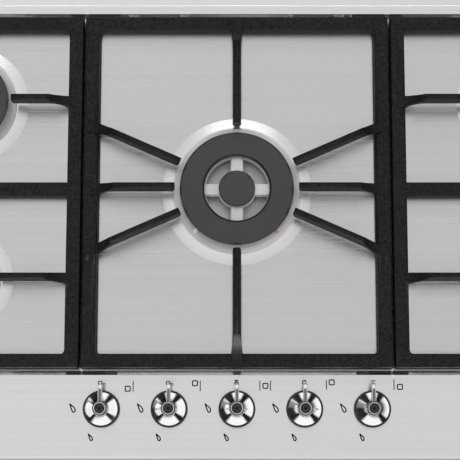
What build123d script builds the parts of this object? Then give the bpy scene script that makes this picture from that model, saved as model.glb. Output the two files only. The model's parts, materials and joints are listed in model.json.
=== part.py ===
from build123d import *
import math
import os

# A built-in gas cooktop: pressed steel plate, five burners, three cast grates, five push-and-turn knobs.
# The origin is the middle of the plate on the worktop. X points right, Y to the back and Z up.

# ---- Driving dimensions, in millimetres and degrees ----

# Pressed top plate
PLATE_LENGTH = 900.0
PLATE_DEPTH = 510.0
RIM_HEIGHT = 7.0
SHEET = 1.0
PLATE_CORNER_R = 10.0
EDGE_R = 3.0
RETURN_FLANGE = 12.0
CONTROL_STRIP = 90.6
BORDER = 12.0
WELL_DEPTH = 5.0
WELL_SLOPE = 3.8
WELL_CORNER_R = 14.0
WELL_EDGE_R = 1.0
WELL_ROOT_R = 2.4

# Seal between plate and worktop
SEAL_THICKNESS = 2.0
SEAL_WIDTH = 10.0
SEAL_INSET = 2.0

# Burner bosses pressed up from the well
BOSS_HEIGHT = 3.5
BOSS_RUN = 11.0
BOSS_MARGIN = 2.0

# Burners
AUXILIARY_CAP_R = 25.0
SEMI_RAPID_CAP_R = 35.0
RAPID_CAP_R = 48.0
WOK_CAP_R = 63.0
WOK_RING_WIDTH = 25.0
WOK_INNER_CAP_R = 20.0
CAP_OVERHANG = 2.0
CAP_THICKNESS = 5.0
CAP_EDGE_R = 2.2
CAP_SPIGOT = 1.5
CROWN_HEIGHT = 12.0
CROWN_WALL = 4.0
CROWN_FLOOR = 3.0
PORT_WIDTH = 2.2
PORT_DEPTH = 4.0
PORT_PITCH = 7.0
WOK_ARMS = 4
WOK_ARM_WIDTH = 12.0
WOK_AIR_GAP = 3.0
VENTURI_R = 7.0
VENTURI_WALL = 1.8
VENTURI_LENGTH = 8.0
CUP_FLANGE = 2.5
CUP_LIP = 2.5
CUP_DEPTH = 18.0
CUP_WALL = 2.0
CUP_HOLE_GAP = 0.5
HUB_R = 9.0
HUB_HEIGHT = 12.0
PROBE_GAP = 0.6
ELECTRODE_R = 2.6
ELECTRODE_TIP_R = 0.8
ELECTRODE_RISE = 8.5
THERMOCOUPLE_R = 1.8
THERMOCOUPLE_RISE = 10.0
INJECTOR_R = 3.5
INJECTOR_HEX = 9.0
INJECTOR_HEIGHT = 5.0

# Cast grates
CENTRE_GRATE_WIDTH = 341.0
GRATE_GAP = 1.0
GRATE_MARGIN = 2.0
PAN_LEVEL = 40.0
BAR_WIDTH = 17.0
BAR_HEIGHT = 9.0
BAR_CLEARANCE = 7.0
BAR_DRAFT = 6.0
BAR_EDGE_R = 1.6
GRATE_CORNER_R = 3.0
GRATE_INNER_R = 4.0
FINGER_ROOT_WIDTH = 15.4
FINGER_WIDTH = 10.4
FINGER_TIP_WIDTH = 9.4
FINGER_DRAFT = 4.2
FINGER_LEVEL = 14.0
FINGER_BELLY = 3.4
FINGER_DEPTH = 13.0
FINGER_TIP_R = 3.0
# Where the middles of a finger's curves lie between their ends, as shares along and across
RAMP_MIDDLE = (0.62, 0.36)
BELLY_MIDDLE = (0.3, 0.72)
NECK_MIDDLE = (0.25, 0.22)
TIP_GAP = 4.0
WOK_FINGER_SPREAD = 150.0
FOOT_LENGTH = 15.0
WOK_FOOT_LENGTH = 36.0
FOOT_INSET = 2.5
PAD_HEIGHT = 2.0
PAD_R = 4.5
PAD_STEM_R = 2.0
PAD_STEM = 3.0

# Control knobs
KNOB_PITCH = 73.5
KNOB_SETBACK = 53.5
SKIRT_R = 20.0
SKIRT_RIM = 1.4
SKIRT_RISE = 7.5
SKIRT_WALL = 1.6
FLARE_R = 75.0
FLARE_STEPS = 4
NECK_R = 7.9
CAP_R = 7.0
CAP_RECESS_R = 5.4
CAP_RECESS = 0.8
KNOB_HEIGHT = 23.5
BLADE_WIDTH = 4.4
BLADE_BEVEL = 0.9
BLADE_REACH = 27.0
BLADE_ROOT = 11.0
BLADE_TIP = 5.0
PUSH_TRAVEL = 3.0
PUSH_GAP = 0.5

# Spindles, taps and gas rail
SPINDLE_R = 3.0
SPINDLE_FLAT = 2.1
SHAFT_GAP = 0.06
KNOB_BORE = 12.0
GROMMET_R = 7.5
GROMMET_HOLE_R = 6.5
GROMMET_LIP = 1.3
RAIL_R = 8.0
RAIL_WALL = 1.5
RAIL_GAP = 6.0
TAP_WIDTH = 24.0
TAP_HEIGHT = 26.0
TAP_FLOOR = 6.0
PLUG_R = 7.0
PLUG_GAP = 0.05
SOCKET_DEPTH = 8.0
BONNET = 3.0
BONNET_NECK_R = 4.6
BONNET_NECK = 3.0
NOZZLE_R = 5.0
NOZZLE_LENGTH = 7.0
MAGNET_DROP = 11.0
MAGNET_LENGTH = 12.0
PIPE_R = 3.0
PIPE_BORE_R = 2.2
PIPE_BEND = 25.0
SWITCH_HEIGHT = 4.0

# Gas inlet
INLET_THREAD_R = 10.48
INLET_THREAD = 16.0
INLET_BORE_R = 7.5
INLET_HEX = 24.0
INLET_HEX_LENGTH = 14.0
INLET_SOCKET = 8.0
INLET_COLLAR = 1.0
INLET_INSET = 65.0
RAIL_BEND = 30.0
RAIL_END = 26.0

# Base tray
TRAY_SIDE_MARGIN = 45.0
TRAY_END_MARGIN = 33.0
TRAY_BOTTOM = 48.0
TRAY_CORNER_R = 9.0
TRAY_LIP = 14.0
TRAY_RIB_WIDTH = 14.0
TRAY_RIB_HEIGHT = 2.5
LOUVRE_LENGTH = 46.0
LOUVRE_WIDTH = 5.0
LOUVRE_PITCH = 13.0
LOUVRE_COUNT = 5
STUD_R = 2.0
STUD_LENGTH = 7.0
NUT_SIZE = 7.0
NUT_HEIGHT = 3.2

# Fixing brackets
CLAMP_WIDTH = 20.0
CLAMP_SHEET = 1.5
CLAMP_LEG = 26.0
CLAMP_REACH = 32.0
CLAMP_TIP = 6.0
CLAMP_DROP = 26.0
CLAMP_SCREW_R = 2.5
CLAMP_HEAD_R = 4.5
CLAMP_HEAD = 3.0

# Ignition and supply
MODULE_LENGTH = 72.0
MODULE_DEPTH = 36.0
MODULE_HEIGHT = 26.0
MODULE_LUG = 10.0
MODULE_SOCKET = 4.0
LEAD_R = 1.25
LEAD_STEP = 3.2
LEAD_BEND = 8.0
SENSOR_LEAD_R = 1.0
TERMINAL_LENGTH = 46.0
TERMINAL_DEPTH = 24.0
TERMINAL_HEIGHT = 22.0
GLAND_R = 7.0
GLAND_REACH = 8.0

# ---- Heights and places that follow from them ----

FLANGE_LEVEL = SEAL_THICKNESS
PLATE_TOP = FLANGE_LEVEL + RIM_HEIGHT
WELL_FLOOR = PLATE_TOP - WELL_DEPTH
WELL_UNDER = WELL_FLOOR - SHEET
STRIP_UNDER = PLATE_TOP - SHEET
PLATE_FRONT = -PLATE_DEPTH / 2
WELL_FRONT = PLATE_FRONT + CONTROL_STRIP
WELL_BACK = PLATE_DEPTH / 2 - BORDER
WELL_SIDE = PLATE_LENGTH / 2 - BORDER

BOSS_TOP = WELL_FLOOR + BOSS_HEIGHT
CUP_TOP = BOSS_TOP + CUP_FLANGE
CROWN_TOP = CUP_TOP + CROWN_HEIGHT
CAP_TOP = CROWN_TOP + CAP_THICKNESS
CUP_BASE = CUP_TOP - CUP_DEPTH
PIPE_LEVEL = CUP_BASE - HUB_HEIGHT / 2

BAR_LOW = WELL_FLOOR + BAR_CLEARANCE
BAR_TOP = BAR_LOW + BAR_HEIGHT
FOOT_LOW = WELL_FLOOR + PAD_HEIGHT
FINGER_TOP = WELL_FLOOR + PAN_LEVEL
GRATE_FRONT = WELL_FRONT + WELL_SLOPE + GRATE_MARGIN
GRATE_BACK = WELL_BACK - WELL_SLOPE - GRATE_MARGIN
GRATE_MIDDLE = (GRATE_FRONT + GRATE_BACK) / 2
GRATE_DEPTH = GRATE_BACK - GRATE_FRONT
SIDE_GRATE_INNER = CENTRE_GRATE_WIDTH / 2 + GRATE_GAP
SIDE_GRATE_OUTER = WELL_SIDE - WELL_SLOPE - GRATE_MARGIN
SIDE_BURNER_X = (SIDE_GRATE_INNER + SIDE_GRATE_OUTER) / 2
# Two burner rows stand over the middles of a side grate's two cells.
BURNER_SPREAD = GRATE_DEPTH / 2
# The shortest finger, over the widest side burner, sets the ramp that all of them share.
SHORT_FINGER = (GRATE_DEPTH - BURNER_SPREAD) / 2 - RAPID_CAP_R - TIP_GAP
FINGER_RAMP = SHORT_FINGER - FINGER_LEVEL

KNOB_Y = PLATE_FRONT + KNOB_SETBACK
KNOB_RIM = PLATE_TOP + PUSH_TRAVEL + PUSH_GAP
KNOB_TOP = KNOB_RIM + KNOB_HEIGHT

TRAY_LENGTH = PLATE_LENGTH - 2 * TRAY_SIDE_MARGIN
TRAY_DEPTH = PLATE_DEPTH - 2 * TRAY_END_MARGIN
TRAY_FLOOR = -TRAY_BOTTOM + SHEET
RAIL_LEVEL = TRAY_FLOOR + RAIL_GAP + RAIL_R
TAP_BASE = RAIL_LEVEL + RAIL_R / 2
TAP_TOP = TAP_BASE + TAP_HEIGHT
PLUG_LOW = TAP_BASE + TAP_FLOOR
BONNET_TOP = TAP_TOP + BONNET
MAGNET_LEVEL = PIPE_LEVEL - MAGNET_DROP
GROMMET_TOP = PLATE_TOP + GROMMET_LIP
SPINDLE_LOW = TAP_TOP - SOCKET_DEPTH + PUSH_TRAVEL + PUSH_GAP
SPINDLE_TOP = KNOB_RIM + KNOB_BORE

INLET_X = TRAY_LENGTH / 2 - INLET_INSET
REAR_WALL = TRAY_DEPTH / 2 - SHEET
STUD_X = TRAY_LENGTH / 2 + TRAY_LIP / 2
STUD_Y = TRAY_DEPTH / 2 + TRAY_LIP / 2
FRONT_TUB = WELL_FRONT - 2 * SHEET
TERMINAL_LEVEL = TRAY_FLOOR + TERMINAL_HEIGHT / 2
LEAD_LEVEL = TRAY_FLOOR + TRAY_RIB_HEIGHT + 2 * LEAD_R

# Burners: side of the plate, row from the front, cap radius
BURNERS = {
    "left_front": (-1, -1, SEMI_RAPID_CAP_R),
    "left_rear": (-1, 1, RAPID_CAP_R),
    "centre": (0, 0, WOK_CAP_R),
    "right_rear": (1, 1, SEMI_RAPID_CAP_R),
    "right_front": (1, -1, AUXILIARY_CAP_R),
}
# The knobs stand in the order of the burners above, from left to right.
KNOB_X = {name: (place - 2) * KNOB_PITCH for place, name in enumerate(BURNERS)}


def burner_place(name):
    """Centre of a burner on the plate."""
    side, row, _ = BURNERS[name]
    return side * SIDE_BURNER_X, GRATE_MIDDLE + row * BURNER_SPREAD / 2


def crown_radius(name):
    return BURNERS[name][2] - CAP_OVERHANG


def cup_radius(name):
    """The cup is wide enough for the spark electrode beside the crown."""
    return crown_radius(name) + 2 * ELECTRODE_R + 2 * PROBE_GAP


def cup_flange_radius(name):
    return cup_radius(name) + CUP_LIP


# ---- Shared shapes ----


def drum(radius, low, high, x=0.0, y=0.0):
    """An upright cylinder between two heights."""
    return Pos(x, y, low) * extrude(Circle(radius), high - low)


def block(x_span, y_span, z_span):
    """A box between two corners."""
    size = [span[1] - span[0] for span in (x_span, y_span, z_span)]
    middle = [(span[0] + span[1]) / 2 for span in (x_span, y_span, z_span)]
    return Pos(*middle) * Box(*size)


def slab(length, depth, corner, low, high, x=0.0, y=0.0):
    """An upright rounded rectangle between two heights."""
    return Pos(x, y, low) * extrude(RectangleRounded(length, depth, corner), high - low)


def turned(*points):
    """A solid of revolution about Z from its (radius, height) corners."""
    profile = Plane.XZ * make_face(Polyline(*points, close=True))
    return revolve(profile, Axis.Z)


def hexagon(across_flats, low, high, x=0.0, y=0.0):
    """An upright hexagonal prism."""
    outline = RegularPolygon(across_flats / 2, 6, major_radius=False)
    return Pos(x, y, low) * extrude(outline, high - low)


def run(section, path):
    """Sweep a section, drawn about its own centre, along a path."""
    start = Plane(origin=path @ 0, z_dir=path % 0)
    return sweep(start * section, path=path)


def ring_edges(solid, level, reach):
    """Edges of a solid at one height whose middles lie within a distance of X and Y spans."""
    (x_low, x_high), (y_low, y_high) = reach

    def wanted(edge):
        place = edge.center(CenterOf.BOUNDING_BOX)
        flat = edge.bounding_box().size.Z < 1e-4
        inside = x_low <= place.X <= x_high and y_low <= place.Y <= y_high
        return flat and inside and abs(place.Z - level) < 1e-3

    return solid.edges().filter_by(wanted)


# ---- Top plate ----


def well_form(grow):
    """The sunken well; grow 0 gives its upper face, and grow SHEET the underside of the same pressing."""
    length = 2 * (WELL_SIDE + grow)
    depth = WELL_BACK - WELL_FRONT + 2 * grow
    middle = (WELL_BACK + WELL_FRONT) / 2
    top = Pos(0, middle, PLATE_TOP) * RectangleRounded(length, depth, WELL_CORNER_R + grow)
    corner = WELL_CORNER_R - WELL_SLOPE + grow
    shrunk = RectangleRounded(length - 2 * WELL_SLOPE, depth - 2 * WELL_SLOPE, corner)
    return loft([Pos(0, middle, WELL_FLOOR - grow) * shrunk, top])


def boss_form(name, shrink):
    """The raised seat of a burner, as seen from above, or from below with shrink SHEET."""
    top_r = cup_flange_radius(name) + BOSS_MARGIN - shrink
    x, y = burner_place(name)
    height = BOSS_HEIGHT
    cone = Cone(top_r + BOSS_RUN, top_r, height, align=(Align.CENTER, Align.CENTER, Align.MIN))
    return Pos(x, y, WELL_FLOOR - shrink) * cone


def stud_places():
    """Places of the welded studs round the tray's lip, with the height that each starts from."""
    sides = [(side * STUD_X, y, WELL_UNDER) for side in (-1, 1) for y in (-TRAY_DEPTH / 4, TRAY_DEPTH / 4)]
    backs = [(x, STUD_Y, WELL_UNDER) for x in (-TRAY_LENGTH / 3, TRAY_LENGTH / 3)]
    fronts = [(x, -STUD_Y, STRIP_UNDER) for x in (-TRAY_LENGTH / 3, TRAY_LENGTH / 3)]
    return sides + backs + fronts


def make_hob_top():
    skin = slab(PLATE_LENGTH, PLATE_DEPTH, PLATE_CORNER_R, FLANGE_LEVEL, PLATE_TOP)
    skin = fillet(skin.faces().sort_by(Axis.Z)[-1].edges(), EDGE_R)
    skin = skin - well_form(0)
    well_reach = ((-WELL_SIDE - 1, WELL_SIDE + 1), (WELL_FRONT - 1, WELL_BACK + 1))
    skin = fillet(ring_edges(skin, PLATE_TOP, well_reach), WELL_EDGE_R)
    skin = fillet(ring_edges(skin, WELL_FLOOR, well_reach), WELL_ROOT_R)
    for name in BURNERS:
        skin = skin + boss_form(name, 0)

    corner = PLATE_CORNER_R - SHEET
    inside = (PLATE_LENGTH - 2 * SHEET, PLATE_DEPTH - 2 * SHEET)
    hollow = slab(*inside, corner, FLANGE_LEVEL + SHEET, STRIP_UNDER)
    hollow = chamfer(hollow.faces().sort_by(Axis.Z)[-1].edges(), EDGE_R - SHEET)
    hollow = hollow - well_form(SHEET)
    for name in BURNERS:
        hollow = hollow + boss_form(name, SHEET)
    mouth = (PLATE_LENGTH - 2 * RETURN_FLANGE, PLATE_DEPTH - 2 * RETURN_FLANGE)
    under = slab(*mouth, corner, FLANGE_LEVEL - SHEET, FLANGE_LEVEL + SHEET)
    plate = skin - hollow - (under - well_form(SHEET))

    for name in BURNERS:
        x, y = burner_place(name)
        hole_r = cup_radius(name) + CUP_HOLE_GAP
        plate = plate - drum(hole_r, WELL_UNDER - SHEET, BOSS_TOP + SHEET, x, y)
        plate = plate - drum(GROMMET_HOLE_R, STRIP_UNDER - SHEET, PLATE_TOP + SHEET, KNOB_X[name], KNOB_Y)
    for x, y, level in stud_places():
        plate = plate + drum(STUD_R, level - SHEET - STUD_LENGTH, level, x, y)
    return plate


def make_worktop_seal():
    outer = (PLATE_LENGTH - 2 * SEAL_INSET, PLATE_DEPTH - 2 * SEAL_INSET)
    inner = (outer[0] - 2 * SEAL_WIDTH, outer[1] - 2 * SEAL_WIDTH)
    outline = RectangleRounded(*outer, PLATE_CORNER_R - SEAL_INSET)
    return extrude(outline - RectangleRounded(*inner, PLATE_CORNER_R / 2), SEAL_THICKNESS)


# ---- Base tray ----


def tub(grow, low, high):
    """One level of the tray's box, grown outwards by the given amount."""
    return slab(TRAY_LENGTH + 2 * grow, TRAY_DEPTH + 2 * grow, TRAY_CORNER_R + grow, low, high)


def strip_zone(y_high, low, high):
    """Everything below the control strip, from in front of the tray to y_high, between two heights."""
    reach = TRAY_LENGTH
    return block((-reach, reach), (-reach, y_high), (low, high))


def make_base_tray():
    shell = tub(0, -TRAY_BOTTOM, WELL_UNDER)
    front = strip_zone(FRONT_TUB, WELL_UNDER - SHEET, STRIP_UNDER)
    shell = shell + (tub(0, WELL_UNDER - SHEET, STRIP_UNDER) & front)
    lip = tub(TRAY_LIP, WELL_UNDER - SHEET, STRIP_UNDER)
    lip = lip - strip_zone(FRONT_TUB - SHEET, WELL_UNDER - 2 * SHEET, STRIP_UNDER - SHEET)
    lip = lip - (tub(TRAY_LIP + SHEET, WELL_UNDER, PLATE_TOP) - strip_zone(FRONT_TUB, WELL_UNDER, PLATE_TOP))
    shell = shell + lip

    hollow = tub(-SHEET, TRAY_FLOOR, WELL_UNDER + SHEET)
    hollow = hollow + tub(-SHEET, WELL_UNDER - SHEET, PLATE_TOP)

    for x in (-TRAY_LENGTH / 4, 0, TRAY_LENGTH / 4):
        length = TRAY_DEPTH / 2
        low = -TRAY_BOTTOM - SHEET
        groove = slab(TRAY_RIB_WIDTH, length, TRAY_RIB_WIDTH / 3, low, -TRAY_BOTTOM + TRAY_RIB_HEIGHT, x)
        shell = shell - groove
        rib_width = TRAY_RIB_WIDTH + 2 * SHEET
        rib_length = length + 2 * SHEET
        rib_top = TRAY_FLOOR + TRAY_RIB_HEIGHT
        hollow = hollow - slab(rib_width, rib_length, rib_width / 3, -TRAY_BOTTOM - SHEET, rib_top, x)
    tray = shell - hollow

    for side in (-1, 1):
        for place in range(LOUVRE_COUNT):
            x = side * TRAY_LENGTH * 3 / 8
            y = (place - (LOUVRE_COUNT - 1) / 2) * LOUVRE_PITCH
            slot = SlotOverall(LOUVRE_LENGTH, LOUVRE_WIDTH)
            tray = tray - Pos(x, y, -TRAY_BOTTOM - SHEET) * extrude(slot, 3 * SHEET)
    for x, y, level in stud_places():
        tray = tray - drum(STUD_R + CUP_HOLE_GAP, level - 2 * SHEET, level + SHEET, x, y)
    tray = tray - back_bar(-INLET_X, GLAND_R, TERMINAL_LEVEL, REAR_WALL - SHEET, REAR_WALL + 2 * SHEET)
    collar_r = INLET_THREAD_R + INLET_COLLAR
    tray = tray - back_bar(INLET_X, collar_r, RAIL_LEVEL, REAR_WALL - SHEET, REAR_WALL + 2 * SHEET)
    for side, y in clamp_places():
        tray = tray - clamp_bolt(side, y, CLAMP_SCREW_R, SHEET)
    return tray


def make_tray_nuts():
    nuts = []
    for x, y, level in stud_places():
        top = level - SHEET
        nut = hexagon(NUT_SIZE, top - NUT_HEIGHT, top, x, y)
        nuts.append(nut - drum(STUD_R + SHAFT_GAP, top - NUT_HEIGHT - SHEET, top + SHEET, x, y))
    return Compound(children=nuts)


def clamp_places():
    """Side of the tray and depth of each fixing bracket."""
    return [(side, y) for side in (-1, 1) for y in (-TRAY_DEPTH / 3, TRAY_DEPTH / 3)]


def make_mounting_clamps():
    """Steel brackets that pull the plate down onto the worktop from below."""
    clamps = []
    leg_top = -CLAMP_DROP + CLAMP_LEG / 2
    for side, y in clamp_places():
        outline = Polyline(
            (TRAY_LENGTH / 2, leg_top),
            (TRAY_LENGTH / 2 + CLAMP_SHEET, leg_top),
            (TRAY_LENGTH / 2 + CLAMP_SHEET, -CLAMP_DROP),
            (TRAY_LENGTH / 2 + CLAMP_REACH - CLAMP_SHEET, -CLAMP_DROP),
            (TRAY_LENGTH / 2 + CLAMP_REACH - CLAMP_SHEET, -CLAMP_DROP + CLAMP_TIP),
            (TRAY_LENGTH / 2 + CLAMP_REACH, -CLAMP_DROP + CLAMP_TIP),
            (TRAY_LENGTH / 2 + CLAMP_REACH, -CLAMP_DROP - CLAMP_SHEET),
            (TRAY_LENGTH / 2, -CLAMP_DROP - CLAMP_SHEET),
            close=True,
        )
        strip = extrude(Plane.XZ * make_face(outline), CLAMP_WIDTH / 2, both=True)
        if side < 0:
            strip = mirror(strip, Plane.YZ)
        hole = clamp_bolt(side, y, CLAMP_SCREW_R + SHAFT_GAP, 2 * CLAMP_SHEET)
        clamps.append(Pos(0, y, 0) * strip - hole)
    return Compound(children=clamps)


def clamp_bolt(side, y, radius, out):
    """A round bar across the tray's side wall at a bracket, from just inside the wall outwards."""
    start = Plane(origin=(side * (TRAY_LENGTH / 2 - 3 * SHEET), y, clamp_bolt_level()), z_dir=(side, 0, 0))
    return extrude(start * Circle(radius), 3 * SHEET + out)


def clamp_bolt_level():
    return -CLAMP_DROP + CLAMP_LEG / 4


def make_clamp_screws():
    screws = []
    for side, y in clamp_places():
        shank = clamp_bolt(side, y, CLAMP_SCREW_R, CLAMP_SHEET)
        face = Plane(
            origin=(side * (TRAY_LENGTH / 2 + CLAMP_SHEET), y, clamp_bolt_level()),
            z_dir=(side, 0, 0),
        )
        head = extrude(face * Circle(CLAMP_HEAD_R), CLAMP_HEAD)
        slot = extrude(face.offset(CLAMP_HEAD / 2) * Rectangle(CLAMP_SHEET, 2 * CLAMP_HEAD_R), CLAMP_HEAD)
        screws.append(shank + head - slot)
    return Compound(children=screws)


# ---- Burners ----


def make_burner_cup(name):
    """The fixed body of a burner: a flanged can through the plate, with the injector's hub below it."""
    x, y = burner_place(name)
    out = cup_radius(name)
    mouth = crown_radius(name) - CROWN_WALL - CUP_WALL
    cup = turned(
        (HUB_R, CUP_BASE - HUB_HEIGHT),
        (HUB_R, CUP_BASE),
        (out, CUP_BASE),
        (out, BOSS_TOP),
        (cup_flange_radius(name), BOSS_TOP),
        (cup_flange_radius(name), CUP_TOP),
        (mouth, CUP_TOP),
        (mouth, BOSS_TOP),
        (out - CUP_WALL, BOSS_TOP),
        (out - CUP_WALL, CUP_BASE + CUP_WALL),
        (INJECTOR_R, CUP_BASE + CUP_WALL),
        (INJECTOR_R, CUP_BASE - HUB_HEIGHT + CUP_WALL),
        (0, CUP_BASE - HUB_HEIGHT + CUP_WALL),
        (0, CUP_BASE - HUB_HEIGHT),
    )
    cup = Pos(x, y, 0) * cup
    feed = hub_plane(name)
    nozzle = extrude(feed * Circle(NOZZLE_R), -nozzle_reach())
    nozzle = nozzle - drum(INJECTOR_R, CUP_BASE - HUB_HEIGHT + CUP_WALL, CUP_BASE, x, y)
    cup = cup + nozzle
    cup = cup - extrude(feed * Circle(PIPE_BORE_R), -nozzle_reach())
    for angle, radius in probe_bores(name):
        px, py = probe_place(name, angle)
        cup = cup - drum(radius, CUP_BASE - SHEET, CUP_TOP + SHEET, px, py)
    return cup


def nozzle_reach():
    """From a hub's axis to the face where its feed pipe ends."""
    return HUB_R + NOZZLE_LENGTH


def feed_direction(name):
    """Side burners are fed from the middle of the plate, and the centre one from the front."""
    side = BURNERS[name][0]
    return (-side, 0, 0) if side else (0, -1, 0)


def hub_plane(name):
    """The face of a hub's inlet nozzle, looking along its feed pipe."""
    x, y = burner_place(name)
    dx, dy, _ = feed_direction(name)
    reach = nozzle_reach()
    return Plane(origin=(x + dx * reach, y + dy * reach, PIPE_LEVEL), z_dir=(dx, dy, 0))


def spark_angle(name):
    """The electrode stands on its burner's outer side, towards the middle of the plate's depth."""
    side, row, _ = BURNERS[name]
    return math.degrees(math.atan2(-(row or 1), side or -1))


def sensor_angle(name):
    """The thermocouple stands on the outer side too, away from the middle of the plate's depth."""
    side, row, _ = BURNERS[name]
    return math.degrees(math.atan2(row or -1, side or 1))


def probe_place(name, angle):
    """Place of a probe beside the crown, at an angle from +X."""
    x, y = burner_place(name)
    radius = crown_radius(name) + PROBE_GAP + ELECTRODE_R
    return x + radius * math.cos(math.radians(angle)), y + radius * math.sin(math.radians(angle))


def probe_bores(name):
    """Angles and bore radii of the electrode's hole and the thermocouple's."""
    spark = (spark_angle(name), ELECTRODE_R + SHAFT_GAP)
    sensor = (sensor_angle(name), THERMOCOUPLE_R + SHAFT_GAP)
    return [spark, sensor]


def make_spark_electrodes():
    """Ceramic rods with a bent-over metal tip's stub beside each crown."""
    rods = []
    for name in BURNERS:
        px, py = probe_place(name, spark_angle(name))
        top = CUP_TOP + ELECTRODE_RISE
        rod = drum(ELECTRODE_R, CUP_BASE - 2 * SHEET, top - 2 * ELECTRODE_R, px, py)
        tip = drum(ELECTRODE_TIP_R, top - 2 * ELECTRODE_R, top, px, py)
        rods.append(rod + tip)
    return Compound(children=rods)


def make_thermocouples():
    """Probes beside each crown, with the sheathed lead down to the magnet unit of the tap."""
    probes = []
    for name in BURNERS:
        px, py = probe_place(name, sensor_angle(name))
        rod = drum(THERMOCOUPLE_R, CUP_BASE - 2 * SHEET, CUP_TOP + THERMOCOUPLE_RISE, px, py)
        end = KNOB_Y + TAP_WIDTH / 2 + MAGNET_LENGTH
        points = [
            (px, py, CUP_BASE - 2 * SHEET),
            (px, py, MAGNET_LEVEL),
            (KNOB_X[name], end + 3 * LEAD_BEND, MAGNET_LEVEL),
            (KNOB_X[name], end, MAGNET_LEVEL),
        ]
        path = FilletPolyline(*points, radius=LEAD_BEND)
        probes.append(rod + run(RegularPolygon(SENSOR_LEAD_R, 6), path))
    return Compound(children=probes)


def make_injectors():
    jets = []
    for name in BURNERS:
        x, y = burner_place(name)
        low = CUP_BASE + CUP_WALL
        jet = drum(INJECTOR_R, PIPE_LEVEL + PIPE_BORE_R + SHEET, low, x, y)
        jet = jet + hexagon(INJECTOR_HEX, low, low + INJECTOR_HEIGHT, x, y)
        jets.append(jet - drum(PIPE_BORE_R / 4, PIPE_LEVEL, low + INJECTOR_HEIGHT + SHEET, x, y))
    return Compound(children=jets)


def ports(ring_r, inner_r):
    """Radial notches in the top edge of a ring between two radii, evenly spaced round it."""
    count = 2 * round(math.pi * ring_r / PORT_PITCH)
    notch = block(
        (inner_r, ring_r),
        (-PORT_WIDTH / 2, PORT_WIDTH / 2),
        (CROWN_TOP - PORT_DEPTH, CROWN_TOP + SHEET),
    )
    return [Rot(0, 0, 360 * turn / count) * notch for turn in range(count)]


def venturi_profile(wall_r):
    """Tube under a crown's floor that the injector fires into."""
    return turned(
        (VENTURI_R, CUP_TOP - VENTURI_LENGTH),
        (VENTURI_R + VENTURI_WALL, CUP_TOP - VENTURI_LENGTH),
        (VENTURI_R + VENTURI_WALL, CUP_TOP),
        (wall_r, CUP_TOP),
        (wall_r, CUP_TOP + CROWN_FLOOR),
        (VENTURI_R, CUP_TOP + CROWN_FLOOR),
    )


def make_burner_crown(name):
    """Flame spreader: a cup of ports that the cap closes, on a venturi tube."""
    x, y = burner_place(name)
    out = crown_radius(name)
    body = venturi_profile(out - CROWN_WALL / 2)
    wall = turned(
        (out - CROWN_WALL, CUP_TOP),
        (out, CUP_TOP),
        (out, CROWN_TOP),
        (out - CROWN_WALL, CROWN_TOP),
    )
    notches = ports(out + SHEET, out - CROWN_WALL - SHEET)
    if name == "centre":
        inner_wall = wok_ring_radius() + CROWN_WALL
        wall = wall + turned(
            (inner_wall - CROWN_WALL, CUP_TOP),
            (inner_wall, CUP_TOP),
            (inner_wall, CROWN_TOP),
            (inner_wall - CROWN_WALL, CROWN_TOP),
        )
        head = WOK_INNER_CAP_R - CAP_OVERHANG
        wall = wall + turned(
            (head - CROWN_WALL, CUP_TOP),
            (head, CUP_TOP),
            (head, CROWN_TOP),
            (head - CROWN_WALL, CROWN_TOP),
        )
        notches = notches + ports(inner_wall + SHEET, inner_wall - CROWN_WALL - SHEET)
        notches = notches + ports(head + SHEET, head - CROWN_WALL - SHEET)
        ring_span = (head - CROWN_WALL / 2, inner_wall - CROWN_WALL / 2)
        body = body - wok_air_window(head + WOK_AIR_GAP, inner_wall - CROWN_WALL - WOK_AIR_GAP)
        wall = wall + wok_arms(ring_span, WOK_ARM_WIDTH / 2, CUP_TOP, CROWN_TOP - PORT_DEPTH)
        through = (head - CROWN_WALL - SHEET, inner_wall + SHEET)
        roof = CROWN_TOP - PORT_DEPTH - SHEET
        notches = notches + wok_arms(through, WOK_ARM_WIDTH / 2 - 2 * SHEET, CUP_TOP + CROWN_FLOOR, roof)
    crown = (body + wall) - notches
    return Pos(x, y, 0) * crown


def wok_arms(reach, half, low, high):
    """Radial blocks between the wok burner's head and its outer ring."""
    arm = block(reach, (-half, half), (low, high))
    return [Rot(0, 0, 360 * turn / WOK_ARMS) * arm for turn in range(WOK_ARMS)]


def wok_air_window(inner_r, outer_r):
    """Openings in the crown's floor that let air up between head and ring, parted by the arms."""
    low = CUP_TOP - SHEET
    high = CUP_TOP + CROWN_FLOOR + SHEET
    annulus = drum(outer_r, low, high) - drum(inner_r, low, high)
    arms = wok_arms((0, crown_radius("centre")), WOK_ARM_WIDTH / 2 + SHEET, low - SHEET, high + SHEET)
    return annulus - arms


def wok_ring_radius():
    """Inner radius of the wok burner's outer ring."""
    return crown_radius("centre") - WOK_RING_WIDTH + CAP_OVERHANG


def cap_profile(radius, spigot_r, inner_r=0.0, inner_spigot_r=0.0):
    """A flat cap with a rounded top edge and a spigot that drops inside the crown's wall."""
    edge = CAP_EDGE_R
    if inner_r:
        spigot = [(inner_spigot_r, CROWN_TOP - CAP_SPIGOT), (inner_spigot_r, CROWN_TOP)]
        low_inner = [*spigot, (inner_r, CROWN_TOP)]
        high_inner = [(inner_r, CAP_TOP - edge), (inner_r + edge, CAP_TOP)]
    else:
        low_inner = [(0, CROWN_TOP - CAP_SPIGOT)]
        high_inner = [(0, CAP_TOP)]
    bend = edge * (1 - math.sqrt(0.5))
    sides = [
        (spigot_r, CROWN_TOP - CAP_SPIGOT),
        (spigot_r, CROWN_TOP),
        (radius, CROWN_TOP),
        (radius, CAP_TOP - edge),
        (radius - bend, CAP_TOP - bend),
        (radius - edge, CAP_TOP),
    ]
    return turned(*(low_inner[::-1] if inner_r else low_inner), *sides, *high_inner[::-1])


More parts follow.
